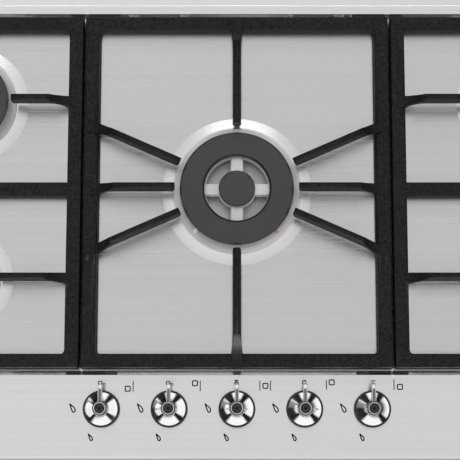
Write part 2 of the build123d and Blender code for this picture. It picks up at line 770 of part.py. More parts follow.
def make_burner_cap(name):
    x, y = burner_place(name)
    spigot_r = crown_radius(name) - CROWN_WALL - PROBE_GAP
    cap_r = BURNERS[name][2]
    if name == "centre":
        ring_r = wok_ring_radius()
        inner_spigot_r = ring_r + CROWN_WALL + PROBE_GAP
        return Pos(x, y, 0) * cap_profile(cap_r, spigot_r, ring_r - CAP_OVERHANG, inner_spigot_r)
    return Pos(x, y, 0) * cap_profile(cap_r, spigot_r)


def make_wok_inner_cap():
    x, y = burner_place("centre")
    spigot_r = WOK_INNER_CAP_R - CAP_OVERHANG - CROWN_WALL - PROBE_GAP
    return Pos(x, y, 0) * cap_profile(WOK_INNER_CAP_R, spigot_r)


# ---- Cast grates ----


def tip_radius(name):
    """How near the fingers come to a burner's axis: clear of its cap, so that the cap lifts straight out."""
    return BURNERS[name][2] + TIP_GAP


def finger(length, root=BAR_WIDTH):
    """A finger along +X from the outer edge of its bar: it ramps up in a hollow curve to the pan level."""
    start = BAR_EDGE_R + SHEET
    ramp_end = start + FINGER_RAMP
    rise = FINGER_TOP - BAR_TOP
    hollow = (start + RAMP_MIDDLE[0] * FINGER_RAMP, BAR_TOP + RAMP_MIDDLE[1] * rise)
    low = FINGER_TOP - FINGER_DEPTH
    belly_start = root - SHEET
    belly_end = ramp_end + FINGER_BELLY
    belly_x = belly_start + BELLY_MIDDLE[0] * (belly_end - belly_start)
    belly = (belly_x, BAR_LOW + BELLY_MIDDLE[1] * (low - BAR_LOW))
    side = Curve() + [
        Line((root / 2, BAR_LOW), (start, BAR_LOW + SHEET)),
        Line((start, BAR_LOW + SHEET), (start, BAR_TOP)),
        ThreePointArc((start, BAR_TOP), hollow, (ramp_end, FINGER_TOP)),
        Line((ramp_end, FINGER_TOP), (length - FINGER_TIP_R, FINGER_TOP)),
        Line((length - FINGER_TIP_R, FINGER_TOP), (length, FINGER_TOP - FINGER_TIP_R)),
        Line((length, FINGER_TOP - FINGER_TIP_R), (length - FINGER_TIP_R, low)),
        Line((length - FINGER_TIP_R, low), (belly_end, low)),
        ThreePointArc((belly_end, low), belly, (belly_start, BAR_LOW)),
        Line((belly_start, BAR_LOW), (root / 2, BAR_LOW)),
    ]
    blade = extrude(Plane.XZ * make_face(side), FINGER_ROOT_WIDTH, both=True)
    root_half = FINGER_ROOT_WIDTH / 2
    half = FINGER_WIDTH / 2
    tip_half = FINGER_TIP_WIDTH / 2
    neck = (root + NECK_MIDDLE[0] * FINGER_RAMP, half + NECK_MIDDLE[1] * (root_half - half))
    outline = Curve() + [
        Line((0, -root_half), (root / 3, -root_half)),
        ThreePointArc((root / 3, -root_half), (neck[0], -neck[1]), (ramp_end, -half)),
        Line((ramp_end, -half), (length + SHEET, -tip_half)),
        Line((length + SHEET, -tip_half), (length + SHEET, tip_half)),
        Line((length + SHEET, tip_half), (ramp_end, half)),
        ThreePointArc((ramp_end, half), neck, (root / 3, root_half)),
        Line((root / 3, root_half), (0, root_half)),
        Line((0, root_half), (0, -root_half)),
    ]
    height = FINGER_TOP - BAR_LOW + SHEET
    base = make_face(outline)
    if base.face().normal_at().Z < 0:
        base = -base.face()
    form = extrude(Pos(0, 0, BAR_LOW) * base, height, taper=FINGER_DRAFT)
    return blade & form


def place_finger(x, y, angle, length):
    return Pos(x, y, 0) * Rot(0, 0, angle) * finger(length)


def drafted(length, depth, corner, low, height, draft):
    """A rounded rectangle that narrows upwards by a draft angle, or widens where the draft is negative."""
    shift = height * math.tan(math.radians(draft))
    base = Pos(0, 0, low) * RectangleRounded(length, depth, corner)
    top = RectangleRounded(length - 2 * shift, depth - 2 * shift, corner - shift)
    return loft([base, Pos(0, 0, low + height) * top])


def grate_frame(length):
    """The rectangular ring of a grate, drafted as cast and eased along its upper edges."""
    ring = drafted(length, GRATE_DEPTH, GRATE_CORNER_R, BAR_LOW, BAR_HEIGHT, BAR_DRAFT)
    window = (length - 2 * BAR_WIDTH, GRATE_DEPTH - 2 * BAR_WIDTH)
    ring = ring - drafted(*window, GRATE_INNER_R, BAR_LOW, BAR_HEIGHT, -BAR_DRAFT)
    return fillet(ring.faces().sort_by(Axis.Z)[-1].edges(), BAR_EDGE_R)


def foot(x, y, length):
    """A cast foot under a bar, with the hole for its pad's stem."""
    depth = BAR_WIDTH - 2 * FOOT_INSET
    x_span = (x - length / 2, x + length / 2)
    y_span = (y - depth / 2, y + depth / 2)
    body = block(x_span, y_span, (FOOT_LOW, BAR_LOW + SHEET))
    return body - drum(PAD_STEM_R, FOOT_LOW - SHEET, FOOT_LOW + PAD_STEM, x, y)


def foot_places(length, foot_length):
    """Middles of the four feet of a grate, from its own centre."""
    x = length / 2 - FOOT_INSET - foot_length / 2
    y = GRATE_DEPTH / 2 - BAR_WIDTH / 2
    return [(side * x, row * y) for side in (-1, 1) for row in (-1, 1)]


def make_side_grate(side):
    """A side grate carries two burners' fingers and a crossbar between them."""
    length = SIDE_GRATE_OUTER - SIDE_GRATE_INNER
    grate = grate_frame(length)
    section = Trapezoid(BAR_WIDTH, BAR_HEIGHT, left_side_angle=90 - BAR_DRAFT)
    section = Plane.YZ * Pos(0, BAR_LOW + BAR_HEIGHT / 2) * section
    crossbar = extrude(section, length / 2 - BAR_WIDTH / 2, both=True)
    grate = grate + crossbar
    names = [name for name in BURNERS if BURNERS[name][0] == side]
    for name in names:
        row = BURNERS[name][1]
        y = row * BURNER_SPREAD / 2
        reach = tip_radius(name)
        grate = grate + place_finger(-length / 2, y, 0, length / 2 - reach)
        grate = grate + place_finger(length / 2, y, 180, length / 2 - reach)
        end = GRATE_DEPTH / 2 - BURNER_SPREAD / 2 - reach
        grate = grate + place_finger(0, row * GRATE_DEPTH / 2, -90 * row, end)
        inner = BURNER_SPREAD / 2 - reach + BAR_WIDTH / 2
        grate = grate + place_finger(0, -row * BAR_WIDTH / 2, 90 * row, inner)
    for x, y in foot_places(length, FOOT_LENGTH):
        grate = grate + foot(x, y, FOOT_LENGTH)
    return Pos(side * SIDE_BURNER_X, GRATE_MIDDLE, 0) * grate


def make_centre_grate():
    """The wok grate: four straight fingers and four slanting ones, all aimed at the burner."""
    length = CENTRE_GRATE_WIDTH
    grate = grate_frame(length)
    reach = tip_radius("centre")
    for angle in (0, 180):
        side = -1 if angle == 0 else 1
        grate = grate + place_finger(side * length / 2, 0, angle, length / 2 - reach)
    for row in (-1, 1):
        grate = grate + place_finger(0, row * GRATE_DEPTH / 2, -90 * row, GRATE_DEPTH / 2 - reach)
        for side in (-1, 1):
            x = side * length / 2
            y = row * WOK_FINGER_SPREAD / 2
            angle = math.degrees(math.atan2(-y, -x))
            grate = grate + place_finger(x, y, angle, math.hypot(x, y) - reach)
    keep = drafted(length, GRATE_DEPTH, GRATE_CORNER_R, BAR_LOW, BAR_HEIGHT, BAR_DRAFT)
    above = slab(length, GRATE_DEPTH, GRATE_CORNER_R, BAR_TOP, FINGER_TOP + SHEET)
    grate = grate & (keep + above)
    for x, y in foot_places(length, WOK_FOOT_LENGTH):
        grate = grate + foot(x, y, WOK_FOOT_LENGTH)
    return Pos(0, GRATE_MIDDLE, 0) * grate


def make_grate_feet(side):
    """Rubber pads with stems that plug into the feet."""
    length = SIDE_GRATE_OUTER - SIDE_GRATE_INNER if side else CENTRE_GRATE_WIDTH
    foot_length = FOOT_LENGTH if side else WOK_FOOT_LENGTH
    pads = []
    for x, y in foot_places(length, foot_length):
        px = x + side * SIDE_BURNER_X
        py = y + GRATE_MIDDLE
        pad = drum(PAD_R, WELL_FLOOR, FOOT_LOW, px, py)
        pads.append(pad + drum(PAD_STEM_R, FOOT_LOW, FOOT_LOW + PAD_STEM, px, py))
    return Compound(children=pads)


# ---- Knobs, spindles and taps ----


def d_section(radius, flat):
    """A round section with one side flattened."""
    return Circle(radius) - Pos(0, radius + flat) * Rectangle(4 * radius, 2 * radius)


def blade_rims(blade_top):
    """Picks the two long edges along a pointer blade's upper side."""

    def wanted(edge):
        place = edge.center(CenterOf.BOUNDING_BOX)
        long = edge.bounding_box().size.Y > BLADE_REACH / 2
        return long and place.Z > blade_top - BLADE_ROOT / 2 + BLADE_TIP / 2

    return wanted


def make_knob(name):
    """A chromed knob: a hollow flared skirt, a neck with a recessed end, and a thin pointer blade."""
    rim_top = KNOB_RIM + SKIRT_RIM
    neck_low = rim_top + SKIRT_RISE
    chord = math.hypot(SKIRT_R - NECK_R, SKIRT_RISE)
    sag = FLARE_R - math.sqrt(FLARE_R**2 - chord**2 / 4)
    slope = math.atan2(SKIRT_RISE, SKIRT_R - NECK_R)
    middle = (
        (SKIRT_R + NECK_R) / 2 - sag * math.sin(slope),
        (rim_top + neck_low) / 2 - sag * math.cos(slope),
    )
    shoulder = KNOB_TOP - 2 * CAP_RECESS
    cap_edge = KNOB_TOP - CAP_RECESS
    face_r = (CAP_R + CAP_RECESS_R) / 2
    hub_low = KNOB_RIM + SKIRT_WALL
    hub_r = SPINDLE_R + 2 * SKIRT_WALL
    roof = neck_low - 2 * SKIRT_WALL
    arc = ThreePointArc((SKIRT_R, rim_top), middle, (NECK_R, neck_low))
    flare = Polyline(*[arc @ (step / FLARE_STEPS) for step in range(FLARE_STEPS + 1)])
    outline = Curve() + [
        Line((0, hub_low), (hub_r, hub_low)),
        Line((hub_r, hub_low), (hub_r, roof)),
        Line((hub_r, roof), (NECK_R, roof)),
        Line((NECK_R, roof), (SKIRT_R - SKIRT_WALL, rim_top - SKIRT_WALL / 2)),
        Line((SKIRT_R - SKIRT_WALL, rim_top - SKIRT_WALL / 2), (SKIRT_R - SKIRT_WALL, KNOB_RIM)),
        Line((SKIRT_R - SKIRT_WALL, KNOB_RIM), (SKIRT_R, KNOB_RIM)),
        Line((SKIRT_R, KNOB_RIM), (SKIRT_R, rim_top)),
        flare,
        Line((NECK_R, neck_low), (NECK_R, shoulder)),
        Line((NECK_R, shoulder), (CAP_R, shoulder)),
        Line((CAP_R, shoulder), (CAP_R, cap_edge)),
        Line((CAP_R, cap_edge), (face_r, KNOB_TOP)),
        Line((face_r, KNOB_TOP), (CAP_RECESS_R, KNOB_TOP)),
        Line((CAP_RECESS_R, KNOB_TOP), (CAP_RECESS_R, cap_edge)),
        Line((CAP_RECESS_R, cap_edge), (0, cap_edge)),
        Line((0, cap_edge), (0, hub_low)),
    ]
    body = revolve(Plane.XZ * make_face(outline), Axis.Z)
    blade_top = shoulder - CAP_RECESS
    tip_top = blade_top - (BLADE_ROOT - BLADE_TIP) / 2
    tip_r = BLADE_TIP / 2
    side = Polyline(
        (CAP_R / 2, blade_top),
        (BLADE_REACH - tip_r, tip_top),
        (BLADE_REACH, tip_top - tip_r),
        (BLADE_REACH - tip_r, tip_top - BLADE_TIP),
        (CAP_R / 2, blade_top - BLADE_ROOT),
        close=True,
    )
    blade = extrude(Plane.YZ * make_face(side), BLADE_WIDTH / 2, both=True)
    blade = chamfer(blade.edges().filter_by(blade_rims(blade_top)), BLADE_BEVEL)
    bore = Pos(0, 0, hub_low - SHEET) * extrude(
        d_section(SPINDLE_R + SHAFT_GAP, SPINDLE_FLAT + SHAFT_GAP), SPINDLE_TOP + SHAFT_GAP - hub_low + SHEET
    )
    return Pos(KNOB_X[name], KNOB_Y, 0) * (body + blade - bore)


def make_spindle(name):
    """D-section shaft between knob and tap plug."""
    shaft = extrude(d_section(SPINDLE_R, SPINDLE_FLAT), SPINDLE_TOP - SPINDLE_LOW)
    return Pos(KNOB_X[name], KNOB_Y, SPINDLE_LOW) * shaft


def make_knob_seals():
    """Rubber grommets that keep spills out of the spindle holes."""
    seals = []
    inner = SPINDLE_R + SHAFT_GAP
    for name in BURNERS:
        seal = turned(
            (inner, STRIP_UNDER - GROMMET_LIP),
            (GROMMET_R, STRIP_UNDER - GROMMET_LIP),
            (GROMMET_R, STRIP_UNDER),
            (GROMMET_HOLE_R, STRIP_UNDER),
            (GROMMET_HOLE_R, PLATE_TOP),
            (GROMMET_R, PLATE_TOP),
            (GROMMET_R, GROMMET_TOP),
            (inner, GROMMET_TOP),
        )
        seals.append(Pos(KNOB_X[name], KNOB_Y, 0) * seal)
    return Compound(children=seals)


def back_bar(x, radius, level, near, far):
    """A round bar that points to the back of the plate."""
    return extrude(Plane(origin=(x, near, level), z_dir=(0, 1, 0)) * Circle(radius), far - near)


def make_tap_body(name):
    """Valve body saddled on the gas rail, with the outlet and the safety magnet's housing at its back."""
    x = KNOB_X[name]
    half = TAP_WIDTH / 2
    body = block((x - half, x + half), (KNOB_Y - half, KNOB_Y + half), (TAP_BASE, TAP_TOP))
    body = body + back_bar(x, NOZZLE_R, PIPE_LEVEL, KNOB_Y + half, KNOB_Y + half + NOZZLE_LENGTH)
    body = body + back_bar(x, NOZZLE_R, MAGNET_LEVEL, KNOB_Y + half, KNOB_Y + half + MAGNET_LENGTH)
    saddle = Plane(origin=(x - TAP_WIDTH, KNOB_Y, RAIL_LEVEL), z_dir=(1, 0, 0)) * Circle(RAIL_R + SHAFT_GAP)
    body = body - extrude(saddle, 2 * TAP_WIDTH)
    body = body - drum(PLUG_R, PLUG_LOW, TAP_TOP + SHEET, x, KNOB_Y)
    body = body - drum(PIPE_BORE_R, RAIL_LEVEL, PLUG_LOW + SHEET, x, KNOB_Y)
    return body - back_bar(x, PIPE_BORE_R, PIPE_LEVEL, KNOB_Y, KNOB_Y + half + NOZZLE_LENGTH + SHEET)


def make_tap_plug(name):
    """The turning plug: a gas way up its middle and out to one side, and a D socket for the spindle."""
    radius = PLUG_R - PLUG_GAP
    plug = drum(radius, PLUG_LOW + PLUG_GAP, TAP_TOP - PLUG_GAP)
    socket = extrude(d_section(SPINDLE_R + SHAFT_GAP, SPINDLE_FLAT + SHAFT_GAP), SOCKET_DEPTH + SHEET)
    plug = plug - Pos(0, 0, TAP_TOP - SOCKET_DEPTH) * socket
    outlet = Plane(origin=(0, 0, PIPE_LEVEL), z_dir=(1, 0, 0)) * Circle(PIPE_BORE_R)
    way = drum(PIPE_BORE_R, PLUG_LOW, PIPE_LEVEL) + extrude(outlet, 2 * PLUG_R)
    return Pos(KNOB_X[name], KNOB_Y, 0) * (plug - way)


def make_tap_bonnets():
    """Covers that hold the plugs down, with the neck that guides the spindle."""
    bonnets = []
    half = TAP_WIDTH / 2
    for name in BURNERS:
        x = KNOB_X[name]
        bonnet = block((x - half, x + half), (KNOB_Y - half, KNOB_Y + half), (TAP_TOP, BONNET_TOP))
        bonnet = bonnet + drum(BONNET_NECK_R, BONNET_TOP, BONNET_TOP + BONNET_NECK, x, KNOB_Y)
        hole = drum(SPINDLE_R + SHAFT_GAP, TAP_TOP - SHEET, BONNET_TOP + BONNET_NECK + SHEET, x, KNOB_Y)
        bonnets.append(bonnet - hole)
    return Compound(children=bonnets)


def make_ignition_switches():
    """Flat switches round the bonnet necks, closed when a knob is pushed."""
    switches = []
    half = TAP_WIDTH / 2
    for name in BURNERS:
        x = KNOB_X[name]
        case = block(
            (x - half + SHEET, x + half - SHEET),
            (KNOB_Y - half, KNOB_Y + half - SHEET),
            (BONNET_TOP, BONNET_TOP + SWITCH_HEIGHT),
        )
        neck = drum(BONNET_NECK_R + SHAFT_GAP, BONNET_TOP - SHEET, STRIP_UNDER, x, KNOB_Y)
        switches.append(case - neck)
    return Compound(children=switches)


def make_gas_manifold():
    """The rail under the taps, bent round to the inlet at the rear corner."""
    start = (KNOB_X["left_front"] - RAIL_END, KNOB_Y, RAIL_LEVEL)
    end = REAR_WALL - INLET_HEX_LENGTH + INLET_SOCKET
    points = [start, (INLET_X, KNOB_Y, RAIL_LEVEL), (INLET_X, end, RAIL_LEVEL)]
    path = FilletPolyline(*points, radius=RAIL_BEND)
    rail = run(Circle(RAIL_R), path)
    bore_points = [(start[0] + RAIL_WALL, start[1], start[2]), *points[1:]]
    rail = rail - run(Circle(RAIL_R - RAIL_WALL), FilletPolyline(*bore_points, radius=RAIL_BEND))
    for name in BURNERS:
        rail = rail - drum(PIPE_BORE_R, RAIL_LEVEL, RAIL_LEVEL + 2 * RAIL_R, KNOB_X[name], KNOB_Y)
    return rail


def make_inlet_union():
    """Brass union on the end of the rail: a hexagon in the tray and a threaded end behind its rear wall."""
    near = REAR_WALL - INLET_HEX_LENGTH
    nut = Plane(origin=(INLET_X, near, RAIL_LEVEL), z_dir=(0, 1, 0)) * RegularPolygon(
        INLET_HEX / 2, 6, major_radius=False
    )
    union = extrude(nut, INLET_HEX_LENGTH)
    shoulder = REAR_WALL + SHEET + INLET_COLLAR
    union = union + back_bar(INLET_X, INLET_THREAD_R + INLET_COLLAR, RAIL_LEVEL, REAR_WALL, shoulder)
    union = union + back_bar(INLET_X, INLET_THREAD_R, RAIL_LEVEL, REAR_WALL, shoulder + INLET_THREAD)
    union = union - back_bar(INLET_X, RAIL_R, RAIL_LEVEL, near - SHEET, near + INLET_SOCKET)
    return union - back_bar(INLET_X, RAIL_R - RAIL_WALL, RAIL_LEVEL, near, REAR_WALL + 2 * INLET_THREAD)


def make_feed_pipes():
    """Aluminium tubes from the taps to the burners' hubs."""
    pipes = []
    for name in BURNERS:
        start = (KNOB_X[name], KNOB_Y + TAP_WIDTH / 2 + NOZZLE_LENGTH, PIPE_LEVEL)
        end = tuple(hub_plane(name).origin)
        if BURNERS[name][0]:
            path = FilletPolyline(start, (start[0], end[1], PIPE_LEVEL), end, radius=PIPE_BEND)
        else:
            path = Line(start, end)
        pipe = run(Circle(PIPE_R), path)
        pipes.append(pipe)
    return Compound(children=pipes)


# ---- Ignition and supply ----


def module_front():
    return REAR_WALL - SHEET - MODULE_DEPTH


def make_ignition_module():
    """Spark generator screwed to the tray's floor by two lugs, with a stepped row of lead sockets."""
    middle = module_front() + MODULE_DEPTH / 2
    high = TRAY_FLOOR + MODULE_HEIGHT
    case = slab(MODULE_LENGTH, MODULE_DEPTH, 3 * SHEET, TRAY_FLOOR, high, y=middle)
    case = chamfer(case.faces().sort_by(Axis.Z)[-1].edges(), SHEET)
    lug_length = MODULE_LENGTH + 2 * MODULE_LUG
    case = case + slab(lug_length, MODULE_DEPTH / 2, 3 * SHEET, TRAY_FLOOR, TRAY_FLOOR + 2 * SHEET, y=middle)
    for side in (-1, 1):
        x = side * (MODULE_LENGTH + MODULE_LUG) / 2
        case = case - drum(STUD_R, TRAY_FLOOR - SHEET, TRAY_FLOOR + 3 * SHEET, x, middle)
    for place in range(len(BURNERS)):
        x, y, level = lead_start(place)
        case = case + back_bar(x, LEAD_R + SHEET, level, y - MODULE_SOCKET, y)
        case = case - back_bar(x, LEAD_R + SHAFT_GAP, level, y - 2 * MODULE_SOCKET, y)
    return case


def lead_start(place):
    """Where the lead of one burner leaves the module: each runs at a level of its own."""
    x = (place - 2) * MODULE_LENGTH / 6
    return x, module_front(), LEAD_LEVEL + place * LEAD_STEP


def make_ignition_leads():
    """Sleeved high-tension leads from the module to the electrodes' undersides."""
    leads = []
    for place, name in enumerate(BURNERS):
        start = lead_start(place)
        px, py = probe_place(name, spark_angle(name))
        points = [
            start,
            (start[0], start[1] - 2 * LEAD_BEND, start[2]),
            (px, py, start[2]),
            (px, py, CUP_BASE - 2 * SHEET),
        ]
        leads.append(run(RegularPolygon(LEAD_R, 6), FilletPolyline(*points, radius=LEAD_BEND)))
    return Compound(children=leads)


def make_mains_terminal():
    """Terminal box at the rear wall, with the gland that a mains lead would enter by."""
    low = REAR_WALL - TERMINAL_DEPTH
    box = block(
        (-INLET_X - TERMINAL_LENGTH / 2, -INLET_X + TERMINAL_LENGTH / 2),
        (low, REAR_WALL),
        (TRAY_FLOOR, TRAY_FLOOR + TERMINAL_HEIGHT),
    )
    gland = back_bar(-INLET_X, GLAND_R, TERMINAL_LEVEL, REAR_WALL, REAR_WALL + SHEET + GLAND_REACH)
    bore_end = REAR_WALL + 2 * GLAND_REACH
    return (box + gland) - back_bar(-INLET_X, GLAND_R / 2, TERMINAL_LEVEL, low + 2 * SHEET, bore_end)


# ---- Every piece by name ----


def make_parts():
    parts = {
        "hob_top": make_hob_top(),
        "worktop_seal": make_worktop_seal(),
        "base_tray": make_base_tray(),
        "tray_nuts": make_tray_nuts(),
        "mounting_clamps": make_mounting_clamps(),
        "clamp_screws": make_clamp_screws(),
        "gas_manifold": make_gas_manifold(),
        "inlet_union": make_inlet_union(),
        "feed_pipes": make_feed_pipes(),
        "injectors": make_injectors(),
        "spark_electrodes": make_spark_electrodes(),
        "thermocouples": make_thermocouples(),
        "ignition_module": make_ignition_module(),
        "ignition_leads": make_ignition_leads(),
        "ignition_switches": make_ignition_switches(),
        "mains_terminal": make_mains_terminal(),
        "knob_seals": make_knob_seals(),
        "tap_bonnets": make_tap_bonnets(),
        "wok_inner_cap": make_wok_inner_cap(),
    }
    for name in BURNERS:
        parts[f"burner_cup_{name}"] = make_burner_cup(name)
        parts[f"burner_crown_{name}"] = make_burner_crown(name)
        parts[f"burner_cap_{name}"] = make_burner_cap(name)
        parts[f"knob_{name}"] = make_knob(name)
        parts[f"spindle_{name}"] = make_spindle(name)
        parts[f"tap_body_{name}"] = make_tap_body(name)
        parts[f"tap_plug_{name}"] = make_tap_plug(name)
    for side, place in ((-1, "left"), (0, "centre"), (1, "right")):
        parts[f"grate_{place}"] = make_side_grate(side) if side else make_centre_grate()
        parts[f"grate_feet_{place}"] = make_grate_feet(side)
    return parts


os.makedirs("parts", exist_ok=True)
for node, solid in make_parts().items():
    export_step(solid, f"parts/{node}.step")
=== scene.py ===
import json
import math

import bmesh
import bpy
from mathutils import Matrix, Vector


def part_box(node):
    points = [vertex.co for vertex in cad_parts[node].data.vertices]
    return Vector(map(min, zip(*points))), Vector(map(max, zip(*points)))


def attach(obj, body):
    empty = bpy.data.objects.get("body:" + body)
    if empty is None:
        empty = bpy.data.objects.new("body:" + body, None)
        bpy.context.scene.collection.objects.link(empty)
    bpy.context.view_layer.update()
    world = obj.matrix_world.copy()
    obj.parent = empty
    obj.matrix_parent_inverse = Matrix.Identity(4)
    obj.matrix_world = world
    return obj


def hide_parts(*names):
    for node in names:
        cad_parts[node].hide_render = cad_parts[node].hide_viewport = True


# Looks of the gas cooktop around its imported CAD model. Metres, +Z up, -Y towards the knobs, the origin in the
# worktop's surface. Profiles and marks are written in millimetres and scaled by MM.

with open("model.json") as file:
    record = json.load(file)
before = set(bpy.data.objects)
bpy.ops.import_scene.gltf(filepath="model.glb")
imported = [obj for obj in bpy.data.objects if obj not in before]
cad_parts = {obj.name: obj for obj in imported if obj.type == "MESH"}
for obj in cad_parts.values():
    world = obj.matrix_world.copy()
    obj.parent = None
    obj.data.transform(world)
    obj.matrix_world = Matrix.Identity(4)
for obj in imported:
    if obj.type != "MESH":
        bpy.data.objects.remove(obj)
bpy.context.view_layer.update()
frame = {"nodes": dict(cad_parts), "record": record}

MM = 0.001
BURNERS = ("left_front", "left_rear", "centre", "right_rear", "right_front")
GRATES = ("left", "centre", "right")

# ---- Sizes that the pieces made here share with the CAD model ----

KNOB_PITCH = 73.5 * MM
KNOB_Y = -201.5 * MM
PLATE_TOP = 9.0 * MM
WELL_FLOOR = 4.0 * MM
TRAY_UNDER = -48.0 * MM


# ---- Shader effects that several finishes use ----


def new_group(name, inputs, outputs):
    """An empty shader group with float or vector inputs and float outputs."""
    tree = bpy.data.node_groups.new(name, "ShaderNodeTree")
    for label, kind, value in inputs:
        socket = tree.interface.new_socket(label, in_out="INPUT", socket_type=kind)
        if value is not None:
            socket.default_value = value
    for label in outputs:
        tree.interface.new_socket(label, in_out="OUTPUT", socket_type="NodeSocketFloat")
    return tree, tree.nodes.new("NodeGroupInput").outputs, tree.nodes.new("NodeGroupOutput").inputs


def add(tree, kind, **settings):
    """A node with its settings; inputs are named by their place, as in0 or in2."""
    node = tree.nodes.new(kind)
    for key, value in settings.items():
        if key.startswith("in") and key[2:].isdigit():
            node.inputs[int(key[2:])].default_value = value
        else:
            setattr(node, key, value)
    return node


def join(tree, *pairs):
    """Links each (output, input) pair."""
    for source, target in pairs:
        tree.links.new(source, target)


def make_grain_group():
    """Fine scratches: noise drawn out along one axis, with broader bands that vary them."""
    tree, given, out = new_group(
        "drawn_grain",
        [
            ("Vector", "NodeSocketVector", None),
            ("Draw", "NodeSocketVector", (8.0, 1500.0, 1500.0)),
            ("Bands", "NodeSocketVector", (1.5, 160.0, 160.0)),
        ],
        ["Scratches", "Bands"],
    )
    for label, draw, detail in (("Scratches", "Draw", 2.0), ("Bands", "Bands", 3.0)):
        stretch = add(tree, "ShaderNodeVectorMath", operation="MULTIPLY")
        noise = add(tree, "ShaderNodeTexNoise", in2=1.0, in3=detail, in4=0.6)
        join(
            tree,
            (given["Vector"], stretch.inputs[0]),
            (given[draw], stretch.inputs[1]),
            (stretch.outputs[0], noise.inputs["Vector"]),
            (noise.outputs["Fac"], out[label]),
        )
    return tree


def make_speckle_group():
    """Grain of a casting or moulding: a fine tooth and a broad, cloudy variation."""
    tree, given, out = new_group(
        "cast_tooth",
        [
            ("Vector", "NodeSocketVector", None),
            ("Tooth", "NodeSocketFloat", 1400.0),
            ("Cloud", "NodeSocketFloat", 22.0),
        ],
        ["Tooth", "Cloud"],
    )
    for label, detail in (("Tooth", 2.0), ("Cloud", 4.0)):
        noise = add(tree, "ShaderNodeTexNoise", in3=detail, in4=0.55)
        join(
            tree,
            (given["Vector"], noise.inputs["Vector"]),
            (given[label], noise.inputs["Scale"]),
            (noise.outputs["Fac"], out[label]),
        )
    return tree


GRAIN = make_grain_group()
TOOTH = make_speckle_group()


# ---- Finishes ----


def new_finish(name, metallic=0.0, roughness=0.5, **sockets):
    """A material with its Principled shader's plain values set."""
    material = bpy.data.materials.new(name)
    material.use_nodes = True
    tree = material.node_tree
    shader = tree.nodes["Principled BSDF"]
    shader.inputs["Metallic"].default_value = metallic
    shader.inputs["Roughness"].default_value = roughness
    for label, value in sockets.items():
        shader.inputs[label.replace("_", " ")].default_value = value
    where = tree.nodes.new("ShaderNodeTexCoord").outputs["Object"]
    return material, tree, shader, where


def place_group(tree, group, where, **values):
    """An effect group placed in a material with its own values; gives its outputs."""
    node = add(tree, "ShaderNodeGroup", node_tree=group)
    for label, value in values.items():
        node.inputs[label].default_value = value
    join(tree, (where, node.inputs["Vector"]))
    return node.outputs


def ramp(tree, factor, *stops):
    """A colour ramp from (position, grey or colour) stops."""
    node = tree.nodes.new("ShaderNodeValToRGB")
    while len(node.color_ramp.elements) < len(stops):
        node.color_ramp.elements.new(0.5)
    for element, (position, colour) in zip(node.color_ramp.elements, stops):
        element.position = position
        element.color = (colour,) * 3 + (1,) if isinstance(colour, float) else (*colour, 1)
    join(tree, (factor, node.inputs["Fac"]))
    return node.outputs["Color"]


def bump(tree, shader, height, strength, distance):
    """Relief from a height, with its depth in metres."""
    node = add(tree, "ShaderNodeBump")
    node.inputs["Strength"].default_value = strength
    node.inputs["Distance"].default_value = distance
    join(tree, (height, node.inputs["Height"]), (node.outputs["Normal"], shader.inputs["Normal"]))


SCRATCH_DEPTH = 0.05 * MM


def brushed(name, light, dark, roughness, draw, bands, strength=0.12, across=None, metallic=1.0):
    """Metal brushed or drawn along one axis; across is the way that its scratches spread the light."""
    material, tree, shader, where = new_finish(name, metallic=metallic)
    grain = place_group(tree, GRAIN, where, Draw=draw, Bands=bands)
    # Rougher in the scratches than between them.
    gloss = ramp(tree, grain["Scratches"], (0.3, roughness + 0.06), (0.7, roughness - 0.05))
    both = add(tree, "ShaderNodeMath", operation="ADD")
    half = add(tree, "ShaderNodeMath", operation="MULTIPLY", in1=0.5)
    join(
        tree,
        (grain["Scratches"], both.inputs[0]),
        (grain["Bands"], both.inputs[1]),
        (both.outputs[0], half.inputs[0]),
        (ramp(tree, half.outputs[0], (0.3, dark), (0.7, light)), shader.inputs["Base Color"]),
        (gloss, shader.inputs["Roughness"]),
    )
    bump(tree, shader, grain["Scratches"], strength, SCRATCH_DEPTH)
    if across:
        spread_across(tree, shader, across)
        paint_well_shade(tree, shader, where)
        polish_walls_and_paint_glint(tree, shader)
    return material


def spread_across(tree, shader, across):
    """Turns the shine so that the scratches spread light across themselves."""
    shader.inputs["Anisotropic"].default_value = 0.9
    lie = add(tree, "ShaderNodeVectorMath", operation="PROJECT", in0=across)
    on_face = add(tree, "ShaderNodeVectorMath", operation="SUBTRACT", in0=across)
    normal = tree.nodes.new("ShaderNodeNewGeometry").outputs["Normal"]
    join(
        tree,
        (normal, lie.inputs[1]),
        (lie.outputs[0], on_face.inputs[1]),
        (on_face.outputs[0], shader.inputs["Tangent"]),
    )


def paint_well_shade(tree, shader, where):
    """Painted shade: the floor of the well is tinted darker than the plate's upper side, for the grates' shade
    over it.
    """
    well, above = WELL_FLOOR + 0.5 * MM, PLATE_TOP - 0.5 * MM
    parts = tree.nodes.new("ShaderNodeSeparateXYZ")
    tint = add(tree, "ShaderNodeMix", data_type="RGBA", blend_type="MULTIPLY")
    tint.inputs[0].default_value = 1.0
    brushed_tint = shader.inputs["Base Color"].links[0].from_socket
    # Painted shade: the base colour falls to 0.8 of the steel's towards the well's floor.
    join(
        tree,
        (where, parts.inputs[0]),
        (ramp(tree, parts.outputs["Z"], (well, 0.80), (above, 1.0)), tint.inputs[7]),
        (brushed_tint, tint.inputs[6]),
        (tint.outputs[2], shader.inputs["Base Color"]),
    )


